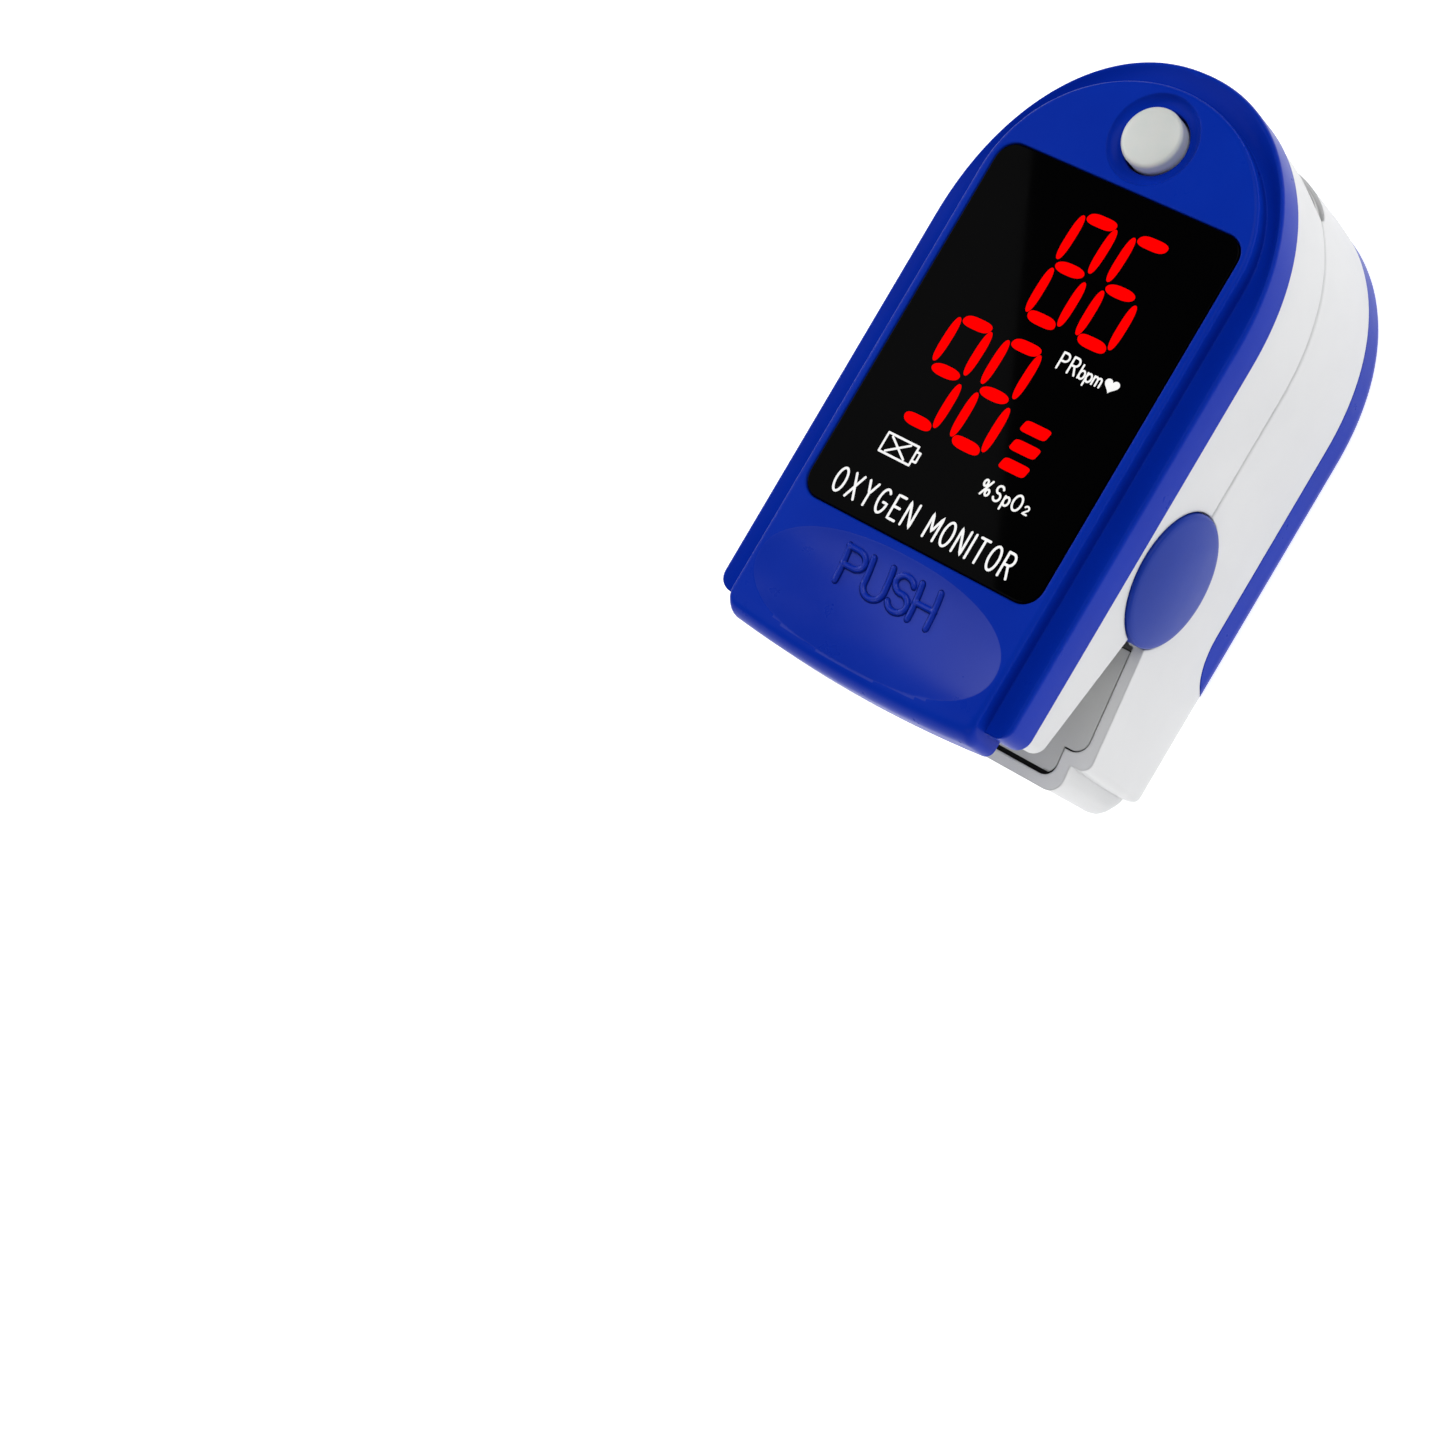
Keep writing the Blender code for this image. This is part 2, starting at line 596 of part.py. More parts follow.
def screw(name, at, head_z, tip_z, head_r, shaft_r, finish="steel", parent=None):
    """A small self-tapping screw; tip_z above head_z points it up."""
    way = 1 if tip_z > head_z else -1
    long = abs(tip_z - head_z)
    profile = [(0, 0), (head_r * 0.8, 0), (head_r, 0.25), (head_r, 0.75), (shaft_r, 0.75),
               (shaft_r, long - 0.6), (shaft_r * 0.4, long), (0, long)]
    bm = lathe([(radius, head_z + way * rise) for radius, rise in profile][::way], 14)
    obj = add_mesh(name, bm, finish, at=(*at, 0), parent=parent)
    slot_low = head_z - way * 0.5
    slot = sorted((slot_low, head_z + way * 0.35))
    cut(obj, cutter(f"{name}_slot", box((at[0] - 0.8 * head_r, at[1] - 0.18, slot[0]),
                                        (at[0] + 0.8 * head_r, at[1] + 0.18, slot[1])), parent=parent))
    return obj


# ---- lower jaw

def strip_front(shift):
    """Side profile of the battery cover: its rounded tail end, then straight to the finger end."""
    points = [(-14.5 - shift, -2.0)]
    for step in range(9):
        angle = pi - pi / 2 * step / 8
        points.append((-9.5 + (5.0 + shift) * cos(angle),
                       -0.4 + (BATTERY_COVER_Z + 0.4 + shift) * sin(angle)))
    points += [(40.0, BATTERY_COVER_Z + shift), (40.0, -2.0)]
    return points


def make_lower_shell():
    top = PARTING_Z - 0.15
    shell = add_mesh("lower_shell", loft([
        (shell_outline(1.3), 0.0),
        (shell_outline(0.75), 0.25),
        (shell_outline(0.4), 0.8),
        (shell_outline(0.2), 1.8),
        (shell_outline(), 7.0),
        (shell_outline(), top - 0.35),
        (shell_outline(0.3), top),
    ]), "white_plastic")
    lip = cutter("tail_lip", side_prism([
        (-24.5, 0.9), (-24.5, 13.0), (-28.2, 13.0), (-28.6, 12.4), (-28.5, 11.5), (-28.0, 2.0),
        (-27.6, 1.2), (-26.9, 0.9),
    ], LIP_HALF))
    cover_room = cutter("cover_room", side_prism(strip_front(0.25), 20))
    inside = cutter("lower_inside", prism(shell_outline(WALL), BAY_TOP_Z, top + 1))
    bay = cutter("battery_bay", box((-BAY_HALF, BAY_Y[0], 1.0), (BAY_HALF, BAY_Y[1], BAY_TOP_Z + 1)))
    tongue_room = cutter("tongue_room", box((-TONGUE_HALF - GAP, TONGUE_TAIL_Y - GAP, TONGUE_LOW_Z - GAP),
                                            (TONGUE_HALF + GAP, -23.9, PARTING_Z)))
    rim = cutter("rim_room", prism(notch_zone_outline(RIM_WALL, NOTCH_Y - 0.1), BAY_TOP_Z, top + 1))
    tail = BODY_TAIL_Y - 5
    notch = cutter("lower_notch", side_prism([
        (NOTCH_Y, top + 2), (tail, top + 2), (tail, notch_line(NOTCH_LOWER_Z, tail)),
        (NOTCH_Y, NOTCH_LOWER_Z[0]),
    ], 20))
    arch = cutter("lower_arch", tunnel(
        TUNNEL_HALF + PAD_EDGE + GAP, TUNNEL_DOWN + PAD_THICK + GAP, 5, 18, 34))
    join(shell, lip)
    cut(shell, cover_room, inside, bay, rim, tongue_room, notch, arch)
    for side in (1, -1):
        seat = cutter(f"lower_cap_seat_{side}", rod_x(CAP_R + 0.3, *sorted((side * 14.45, side * 18)), 40))
        sweep = cutter(f"lower_sweep_{side}", rod_x(EAR_R + 0.4, *sorted((side * 11.1, side * 12.9)), 32))
        cut(shell, seat)
        ear_x = sorted(side * x for x in LOWER_EAR_X)
        join(shell, cutter(f"lower_ear_{side}", ear_tab(EAR_R + 0.1, 9.7, ear_x)))
        cut(shell, sweep)
        for i, (x, y) in enumerate(LOWER_SCREWS):
            cut(shell, cutter(f"lower_pilot_{i}_{side}", rod_z(0.85, 7.2, 12.5, (side * x, y), 12)))
    cut(shell, cutter("lower_axle_bore", rod_x(AXLE_R + 0.2, -13.9, 13.9, 16)))


def make_lower_liner():
    high = PARTING_Z - 0.7
    liner = add_mesh("lower_liner", prism(shell_outline(WALL + GAP), BAY_TOP_Z + 0.1, high),
                     "grey_plastic")
    tongue = cutter("liner_tongue", side_prism([
        (TONGUE_TAIL_Y, TONGUE_LOW_Z), (-24.5, TONGUE_LOW_Z), (-24.5, BAY_TOP_Z + 0.2),
        (-23.4, BAY_TOP_Z + 0.2), (-23.4, 14.0), (TONGUE_TAIL_Y, 14.0),
    ], TONGUE_HALF))
    rim = cutter("liner_rim", prism(notch_zone_outline(RIM_WALL + GAP, NOTCH_Y - 0.6),
                                    BAY_TOP_Z + 0.15, high - 0.1))
    join(liner, rim, tongue)
    tail = BODY_TAIL_Y - 3
    notch = cutter("lower_liner_notch", side_prism([
        (LINER_NOTCH_Y, high + 2), (tail, high + 2), (tail, notch_line(NOTCH_LOWER_Z, tail, -0.2)),
        (LINER_NOTCH_Y, notch_line(NOTCH_LOWER_Z, LINER_NOTCH_Y, -0.2)),
    ], 20))
    pocket = cutter("lower_pocket", tunnel(
        TUNNEL_HALF + PAD_EDGE + GAP, TUNNEL_DOWN + PAD_THICK + GAP, 5, PAD_TAIL_Y - GAP, 34))
    sensor = cutter("lower_sensor_hole", prism(round_rectangle(3.0, 3.0, 0.5, (0, SENSOR_Y)), 10, 15))
    cut(liner, notch, pocket, sensor, *hinge_clearances("lower_liner", None, COIL_X[0]))
    for i, (x, y) in enumerate(LOWER_SCREWS):
        for side in (1, -1):
            cut(liner, cutter(f"lower_well_{i}_{side}", rod_z(1.45, 13.3, 18, (side * x, y))),
                cutter(f"lower_bore_{i}_{side}", rod_z(0.85, 10, 14, (side * x, y), 12)))


def make_battery_cover():
    slide = add_empty("battery_cover_slide", (0, END_CENTRE_Y + END_DEPTH, 0))
    cover = add_mesh("battery_cover", loft([
        (shell_outline(1.3), 0.0),
        (shell_outline(0.75), 0.25),
        (shell_outline(0.4), 0.8),
        (shell_outline(0.2), 1.8),
        (shell_outline(0.1), BATTERY_COVER_Z),
    ]), "blue_plastic", parent=slide)
    keep_inside(cover, cutter("cover_side", side_prism(strip_front(0.0), 20), parent=slide))
    cut(cover, cutter("cover_hollow", prism(shell_outline(COVER_WALL), 0.9, BATTERY_COVER_Z + 2),
                      parent=slide))


def make_cells():
    """Two AAA cells head to tail, a link plate at the tail and two terminals at the finger end."""
    front = BAY_Y[1] - 0.5
    rear = BAY_Y[0] + 0.5
    for name, side, way, nub_y in (("battery_left", -1, -1, rear + 0.15),
                                   ("battery_right", 1, 1, front - 0.15)):
        profile = [(0, 0), (CELL_R - 0.3, 0), (CELL_R, 0.3), (CELL_R, CELL_LONG - 0.3),
                   (CELL_R - 0.3, CELL_LONG), (NUB_R, CELL_LONG), (NUB_R, CELL_LONG + NUB_LONG),
                   (0, CELL_LONG + NUB_LONG)]
        bm = lathe(profile, 24)
        turn = Matrix.Rotation(-pi / 2 * way, 4, "X")
        bmesh.ops.transform(bm, matrix=turn, verts=bm.verts)
        start = nub_y - way * (CELL_LONG + NUB_LONG)
        add_mesh(name, bm, "cell_wrap", at=(side * CELL_X, start, CELL_Z))
        spring_from = start - way * 0.1
        spring_to = (front if way < 0 else rear) + way * 0.1
        coil = []
        for step in range(33):
            share = step / 32
            angle = 2 * pi * 2.25 * share
            radius = 3.6 - 1.7 * share
            coil.append((side * CELL_X + radius * cos(angle),
                         spring_to + way * 0.2 + (spring_from - spring_to - way * 0.4) * share,
                         CELL_Z + radius * sin(angle)))
        wire(f"contact_spring_{name.split('_')[1]}", coil, 0.18, "nickel", sides=1)
        x_low, x_high = side * CELL_X - 3.6, side * CELL_X + 3.6
        add_mesh(f"battery_terminal_{name.split('_')[1]}",
                 box((x_low, front + 0.1, 2.4), (x_high, front + 0.4, 10.4)), "nickel")
    add_mesh("battery_link_plate", box((-9.7, rear - 0.4, 2.4), (9.7, rear - 0.1, 10.4)), "nickel")


# ---- hinge

def make_hinge():
    add_mesh("hinge_axle", rod_x(AXLE_R, -13.75, 13.75, 20), "steel")
    for name, side in (("left", -1), ("right", 1)):
        profile = [(0, 14.6), (CAP_R - 0.25, 14.6), (CAP_R, 14.85), (CAP_R, 15.75), (CAP_R - 0.3, 16.1),
                   (CAP_R - 1.2, 16.3), (CAP_R * 0.5, 16.5), (0, CAP_FACE_X)]
        bm = along_x(lathe(profile, 40))
        if side < 0:
            bmesh.ops.scale(bm, vec=(-1, 1, 1), verts=bm.verts)
        add_mesh(f"pivot_cap_{name}", bm, "blue_plastic", at=(0, AXIS_Y, AXIS_Z))
        wire(f"torsion_spring_{name}", spring_path(side), WIRE_R, "steel", sides=1)


def spring_path(side):
    """Four and a half turns round the axle, with a leg for each jaw reaching towards the tail."""
    turns = 4.5
    steps = 63
    leg = 7.5
    first, last = side * COIL_X[0], side * COIL_X[1]
    path = [(first, AXIS_Y - leg, AXIS_Z - COIL_R), (first, AXIS_Y - leg / 2, AXIS_Z - COIL_R)]
    for step in range(steps + 1):
        angle = -pi / 2 + 2 * pi * turns * step / steps
        x = first + (last - first) * step / steps
        path.append((x, AXIS_Y + COIL_R * cos(angle), AXIS_Z + COIL_R * sin(angle)))
    path += [(last, AXIS_Y - leg / 2, AXIS_Z + COIL_R), (last, AXIS_Y - leg, AXIS_Z + COIL_R)]
    return path


def make_ribbon_cable():
    """A flat cable from the light source, between the cells, up behind the axle to the main board."""
    key = [(SENSOR_Y, 11.6), (-2.0, 11.55), (-10.0, 11.5), (-12.0, 12.3), (-12.9, 14.5), (-13.1, 17.3),
           (-12.9, 19.8), (-12.3, 21.8), (-12.2, 23.0)]
    half_x = 1.4
    half_thick = 0.1
    bm = bmesh.new()
    rings = []
    for i, (y, z) in enumerate(key):
        before, after = key[max(i - 1, 0)], key[min(i + 1, len(key) - 1)]
        along_y_part, along_z_part = after[0] - before[0], after[1] - before[1]
        long = sqrt(along_y_part ** 2 + along_z_part ** 2)
        side_y, side_z = -along_z_part / long * half_thick, along_y_part / long * half_thick
        rings.append([bm.verts.new(corner) for corner in (
            (half_x, y + side_y, z + side_z), (-half_x, y + side_y, z + side_z),
            (-half_x, y - side_y, z - side_z), (half_x, y - side_y, z - side_z))])
    for low, high in zip(rings, rings[1:]):
        for i in range(4):
            bm.faces.new((low[i], low[(i + 1) % 4], high[(i + 1) % 4], high[i]))
    bm.faces.new(rings[0])
    bm.faces.new(rings[-1][::-1])
    add_mesh("ribbon_cable", bm, "flex_amber")


def main():
    clear_scene()
    jaw = add_empty("upper_jaw_hinge", (0, AXIS_Y, AXIS_Z))
    make_top_cover(jaw)
    make_window(jaw)
    make_button()
    make_display_head(jaw)
    make_upper_shell(jaw)
    make_upper_liner(jaw)
    make_pad("upper_finger_pad", True, jaw)
    make_lower_shell()
    make_lower_liner()
    make_pad("lower_finger_pad", False, None)
    make_sensor_optics(jaw)
    make_battery_cover()
    make_cells()
    make_hinge()
    make_ribbon_cable()
    for count, (side, (x, y)) in enumerate((s, p) for p in UPPER_SCREWS for s in (-1, 1)):
        screw(f"upper_screw_{count + 1}", (side * x, y), 20.1, 26.9, 1.5, 0.75, parent=jaw)
    for count, (side, (x, y)) in enumerate((s, p) for p in LOWER_SCREWS for s in (-1, 1)):
        screw(f"lower_screw_{count + 1}", (side * x, y), 14.1, 7.6, 1.2, 0.65)


main()
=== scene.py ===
from math import copysign, cos, pi, radians, sin, sqrt

import bmesh
import bpy
from mathutils import Matrix, Vector


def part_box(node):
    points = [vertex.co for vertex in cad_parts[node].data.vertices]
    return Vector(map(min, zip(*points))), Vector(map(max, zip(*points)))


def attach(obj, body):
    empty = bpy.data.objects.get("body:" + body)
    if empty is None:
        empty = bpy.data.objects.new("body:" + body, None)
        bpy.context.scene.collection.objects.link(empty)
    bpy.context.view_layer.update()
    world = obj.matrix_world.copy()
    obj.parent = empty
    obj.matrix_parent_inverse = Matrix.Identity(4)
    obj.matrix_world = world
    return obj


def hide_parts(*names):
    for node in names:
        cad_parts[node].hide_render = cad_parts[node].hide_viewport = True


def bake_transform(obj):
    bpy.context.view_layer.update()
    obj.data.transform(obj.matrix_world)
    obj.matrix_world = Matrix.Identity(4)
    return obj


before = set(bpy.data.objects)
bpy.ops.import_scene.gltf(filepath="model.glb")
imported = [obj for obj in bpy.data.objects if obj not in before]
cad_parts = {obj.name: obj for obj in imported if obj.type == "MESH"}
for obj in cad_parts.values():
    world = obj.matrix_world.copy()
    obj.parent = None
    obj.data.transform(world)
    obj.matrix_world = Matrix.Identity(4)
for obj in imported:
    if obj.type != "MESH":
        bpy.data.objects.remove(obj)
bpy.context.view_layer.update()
mm = 0.001

# Lengths are millimetres in the part's own frame: X across, +Y to the finger opening, +Z up.


def nodeBox(node):
    low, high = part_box(node)
    return low / mm, high / mm


coverLow, coverHigh = nodeBox("top_cover")
windowLow, windowHigh = nodeBox("display_window")
buttonLow, buttonHigh = nodeBox("power_button")
shellTop = nodeBox("upper_shell")[1].z
linerTop = nodeBox("upper_liner")[1].z
capLow, capHigh = nodeBox("pivot_cap_right")
axleLow, axleHigh = nodeBox("hinge_axle")
upperPadLow, upperPadHigh = nodeBox("upper_finger_pad")
lowerPadLow, lowerPadHigh = nodeBox("lower_finger_pad")
lensLow, lensHigh = nodeBox("lower_sensor_lens")
batteryCoverTop = nodeBox("battery_cover")[1].z

axisY = (axleLow.y + axleHigh.y) / 2
axisZ = (axleLow.z + axleHigh.z) / 2
coverTop = coverHigh.z
flangeHalf = coverHigh.x
endY = coverHigh.y
buttonY = (buttonLow.y + buttonHigh.y) / 2
sensorY = (lensLow.y + lensHigh.y) / 2
partingZ = (upperPadLow.z + lowerPadHigh.z) / 2


# mesh helpers
def linkObject(name, data):
    obj = bpy.data.objects.new(name, data)
    bpy.context.scene.collection.objects.link(obj)
    return obj


def meshObject(name, bm):
    # Turns a bmesh in millimetres into a linked object in metres.
    bmesh.ops.recalc_face_normals(bm, faces=bm.faces)
    bmesh.ops.scale(bm, vec=(mm, mm, mm), verts=bm.verts)
    mesh = bpy.data.meshes.new(name)
    bm.to_mesh(mesh)
    bm.free()
    return linkObject(name, mesh)


def solve(obj, operation, *bms):
    # Joins, cuts or keeps obj with each bmesh in turn, for good.
    for bm in bms:
        other = meshObject("tool", bm)
        modifier = obj.modifiers.new("solve", "BOOLEAN")
        modifier.operation = operation
        modifier.object = other
        modifier.solver = "EXACT"
        graph = bpy.context.evaluated_depsgraph_get()
        solved = bpy.data.meshes.new_from_object(obj.evaluated_get(graph))
        obj.modifiers.clear()
        old = obj.data
        obj.data = solved
        bpy.data.meshes.remove(old)
        tool = other.data
        bpy.data.objects.remove(other)
        bpy.data.meshes.remove(tool)


def cut(obj, *bms):
    solve(obj, "DIFFERENCE", *bms)


def join(obj, *bms):
    solve(obj, "UNION", *bms)


def keep(obj, *bms):
    solve(obj, "INTERSECT", *bms)


def dress(obj, finish, sharpAngle=32.0, weighted=True):
    # Smooth shading with crisp creases, and its finish.
    mesh = obj.data
    mesh.materials.clear()
    mesh.materials.append(finish)
    for face in mesh.polygons:
        face.material_index = 0
    mesh.shade_smooth()
    mesh.set_sharp_from_angle(angle=radians(sharpAngle))
    if weighted:
        modifier = obj.modifiers.new("weighted", "WEIGHTED_NORMAL")
        modifier.keep_sharp = True
        modifier.weight = 60
    return obj


def loft(rings):
    # A closed solid through rings of (x, y, z) with equal point counts.
    bm = bmesh.new()
    made = [[bm.verts.new(point) for point in ring] for ring in rings]
    for low, high in zip(made, made[1:]):
        for i, corner in enumerate(low):
            j = (i + 1) % len(low)
            bm.faces.new((corner, low[j], high[j], high[i]))
    bm.faces.new(made[0][::-1])
    bm.faces.new(made[-1])
    return bm


def raised(outline, z):
    return [(x, y, z) for x, y in outline]


def levels(*pairs):
    return loft([raised(outline, z) for outline, z in pairs])


def prism(outline, low, high):
    return levels((outline, low), (outline, high))


def box(low, high):
    return prism([(low[0], low[1]), (high[0], low[1]), (high[0], high[1]), (low[0], high[1])],
                 low[2], high[2])


def turned(bm, rows):
    bmesh.ops.transform(bm, matrix=Matrix(rows), verts=bm.verts)
    return bm


def alongX(bm):
    # (x, y, z) becomes (z, x, y).
    return turned(bm, ((0, 0, 1, 0), (1, 0, 0, 0), (0, 1, 0, 0), (0, 0, 0, 1)))


def alongY(bm):
    # (x, y, z) becomes (y, z, x).
    return turned(bm, ((0, 1, 0, 0), (0, 0, 1, 0), (1, 0, 0, 0), (0, 0, 0, 1)))


def sidePrism(profile, halfX):
    return alongX(prism(profile, -halfX, halfX))


def circle(radius, steps=64, centre=(0.0, 0.0)):
    return [(centre[0] + radius * cos(2 * pi * i / steps), centre[1] + radius * sin(2 * pi * i / steps))
            for i in range(steps)]


def rodX(radius, xLow, xHigh, steps=96):
    return alongX(prism(circle(radius, steps, (axisY, axisZ)), xLow, xHigh))


def rodZ(radius, low, high, at, steps=40):
    return prism(circle(radius, steps, at), low, high)


def lathe(profile, steps=96, at=(0.0, 0.0, 0.0)):
    # Spins a (radius, z) profile from its foot on the axis to its top on the axis.
    bm = bmesh.new()
    foot = bm.verts.new((at[0], at[1], at[2] + profile[0][1]))
    tip = bm.verts.new((at[0], at[1], at[2] + profile[-1][1]))
    rings = []
    for radius, z in profile[1:-1]:
        rings.append([bm.verts.new((at[0] + x, at[1] + y, at[2] + z)) for x, y in circle(radius, steps)])
    for i in range(steps):
        j = (i + 1) % steps
        bm.faces.new((foot, rings[0][j], rings[0][i]))
        bm.faces.new((tip, rings[-1][i], rings[-1][j]))
        for low, high in zip(rings, rings[1:]):
            bm.faces.new((low[i], low[j], high[j], high[i]))
    return bm


def fillet(centre, radius, start, end, steps=6):
    # Points of an arc in a (radius, z) profile, angles in degrees.
    return [(centre[0] + radius * cos(radians(start + (end - start) * i / steps)),
             centre[1] + radius * sin(radians(start + (end - start) * i / steps)))
            for i in range(steps + 1)]


def roundRectangle(halfX, halfY, corner, centre=(0.0, 0.0), steps=10):
    points = []
    for turn, (sx, sy) in enumerate(((1, -1), (1, 1), (-1, 1), (-1, -1))):
        for step in range(steps + 1):
            angle = -pi / 2 + pi / 2 * (turn + step / steps)
            points.append((centre[0] + sx * (halfX - corner) + corner * cos(angle),
                           centre[1] + sy * (halfY - corner) + corner * sin(angle)))
    return points


def tube(bm, path, radius, sides=12, rise=None, closed=False):
    # A round bar along path with domed ends. rise, where given, is its half height along Z.
    points = [Vector(p) for p in path]
    count = len(points)
    rings = []

    def ring(centre, along, scale):
        along = along.normalized()
        if rise is None:
            helper = Vector((0, 0, 1)) if abs(along.z) < 0.9 else Vector((0, 1, 0))
            side = along.cross(helper).normalized()
            up = side.cross(along).normalized() * radius
        else:
            side = along.cross(Vector((0, 0, 1))).normalized()
            up = Vector((0, 0, 1)) * rise
        side = side * radius
        rings.append([bm.verts.new(centre + (side * cos(2 * pi * k / sides) + up * sin(2 * pi * k / sides))
                                   * scale) for k in range(sides)])

    for i, point in enumerate(points):
        if closed:
            along = points[(i + 1) % count] - points[i - 1]
        else:
            along = points[min(i + 1, count - 1)] - points[max(i - 1, 0)]
        if not closed and i == 0:
            for angle in (75, 50, 25):
                ring(point - along.normalized() * radius * sin(radians(angle)), along, cos(radians(angle)))
        ring(point, along, 1.0)
        if not closed and i == count - 1:
            for angle in (25, 50, 75):
                ring(point + along.normalized() * radius * sin(radians(angle)), along, cos(radians(angle)))
    pairs = list(zip(rings, rings[1:]))
    if closed:
        pairs.append((rings[-1], rings[0]))
    for low, high in pairs:
        for k in range(sides):
            j = (k + 1) % sides
            bm.faces.new((low[k], low[j], high[j], high[k]))
    if not closed:
        bm.faces.new(rings[0][::-1])
        bm.faces.new(rings[-1])
    return bm


# finishes
def noise(nodes, links, place, size, detail=2.0, rough=0.5):
    # A noise node whose features are about size millimetres across.
    node = nodes.new("ShaderNodeTexNoise")
    node.inputs["Scale"].default_value = 1 / (size * mm)
    node.inputs["Detail"].default_value = detail
    node.inputs["Roughness"].default_value = rough
    links.new(place.outputs["Object"], node.inputs["Vector"])
    return node


def ramp(nodes, links, source, low, high, outLow, outHigh):
    node = nodes.new("ShaderNodeMapRange")
    node.inputs["From Min"].default_value = low
    node.inputs["From Max"].default_value = high
    node.inputs["To Min"].default_value = outLow
    node.inputs["To Max"].default_value = outHigh
    links.new(source, node.inputs["Value"])
    return node.outputs["Result"]


def blendColour(nodes, links, factor, first, second):
    node = nodes.new("ShaderNodeMix")
    node.data_type = "RGBA"
    for socket, value in ((node.inputs[6], first), (node.inputs[7], second)):
        if isinstance(value, tuple):
            socket.default_value = (*value, 1.0)
        else:
            links.new(value, socket)
    links.new(factor, node.inputs[0])
    return node.outputs[2]


def opened(made):
    nodes = made.node_tree.nodes
    return nodes, made.node_tree.links, nodes["Principled BSDF"], nodes.new("ShaderNodeTexCoord")


plainSockets = (     # a look's key, the shader's socket and its usual value
    ("metallic", "Metallic", 0.0), ("specular", "Specular IOR Level", 0.5), ("coat", "Coat Weight", 0.0),
    ("coatRoughness", "Coat Roughness", 0.2), ("sheen", "Sheen Weight", 0.0),
    ("subsurface", "Subsurface Weight", 0.0), ("transmission", "Transmission Weight", 0.0),
)


def makeFinish(name, look):
    # A procedural finish: mottled colour, uneven gloss, moulding grain and softened edges.
    made = bpy.data.materials.new(name)
    made.use_nodes = True
    nodes, links, shader, place = opened(made)
    cloud = noise(nodes, links, place, look.get("cloud", 9.0), 3.0)
    smudge = noise(nodes, links, place, look.get("smudge", 2.6), 5.0, 0.6)
    grain = noise(nodes, links, place, look.get("grain", 0.22), 2.0, 0.6)
    colour = blendColour(nodes, links, ramp(nodes, links, cloud.outputs["Fac"], 0.35, 0.65, 0.0, 1.0),
                         look["colour"], look["shade"])
    if "speck" in look:
        colour = blendColour(nodes, links, ramp(nodes, links, grain.outputs["Fac"], 0.62, 0.8, 0.0, 0.5),
                             colour, look["speck"])
    links.new(colour, shader.inputs["Base Color"])
    gloss = ramp(nodes, links, smudge.outputs["Fac"], 0.3, 0.7,
                 look["roughness"] - look.get("uneven", 0.04), look["roughness"] + look.get("uneven", 0.04))
    links.new(gloss, shader.inputs["Roughness"])
    for key, socket, usual in plainSockets:
        shader.inputs[socket].default_value = look.get(key, usual)
    shader.inputs["Subsurface Scale"].default_value = 0.6 * mm
    bump = nodes.new("ShaderNodeBump")
    bump.inputs["Strength"].default_value = look.get("grainStrength", 0.25)
    bump.inputs["Distance"].default_value = look.get("grainDepth", 0.012) * mm
    links.new(grain.outputs["Fac"], bump.inputs["Height"])
    if look.get("edge", 0.0) > 0.0:
        bevel = nodes.new("ShaderNodeBevel")
        bevel.samples = 6
        bevel.inputs["Radius"].default_value = look["edge"] * mm
        links.new(bevel.outputs["Normal"], bump.inputs["Normal"])
    links.new(bump.outputs["Normal"], shader.inputs["Normal"])
    return made


def glowFinish(name, look):
    # A lit segment's own light, or the painted glow of printed ink, faintly mottled, over a matt body.
    made = makeFinish(name, look)
    nodes, links, shader, place = opened(made)
    cells = noise(nodes, links, place, look["cells"], 1.0)
    glow = blendColour(nodes, links, ramp(nodes, links, cells.outputs["Fac"], 0.3, 0.7, 0.0, 1.0),
                       look["glow"], look["glowShade"])
    links.new(glow, shader.inputs["Emission Color"])
    shader.inputs["Emission Strength"].default_value = look["strength"]
    return made


def boardFinish(name, look):
    # Green solder mask with copper tracks showing through it.
    made = makeFinish(name, look)
    nodes, links, shader, place = opened(made)
    tracks = nodes.new("ShaderNodeTexBrick")
    tracks.inputs["Scale"].default_value = 1 / (look["trackPitch"] * mm)
    tracks.inputs["Mortar Size"].default_value = 0.06
    tracks.inputs["Color1"].default_value = (*look["colour"], 1)
    tracks.inputs["Color2"].default_value = (*look["shade"], 1)
    tracks.inputs["Mortar"].default_value = (*look["track"], 1)
    links.new(place.outputs["Object"], tracks.inputs["Vector"])
    links.new(tracks.outputs["Color"], shader.inputs["Base Color"])
    return made


def cellFinish(name, look):
    # Printed foil: a dark body with a metallic band at the positive end.
    made = makeFinish(name, look)
    nodes, links, shader, place = opened(made)
    split = nodes.new("ShaderNodeSeparateXYZ")
    links.new(place.outputs["Object"], split.inputs["Vector"])
    band = ramp(nodes, links, split.outputs["Y"], look["bandY"] * mm, (look["bandY"] + 0.2) * mm, 0.0, 1.0)
    links.new(blendColour(nodes, links, band, look["colour"], look["bandColour"]),
              shader.inputs["Base Color"])
    return made


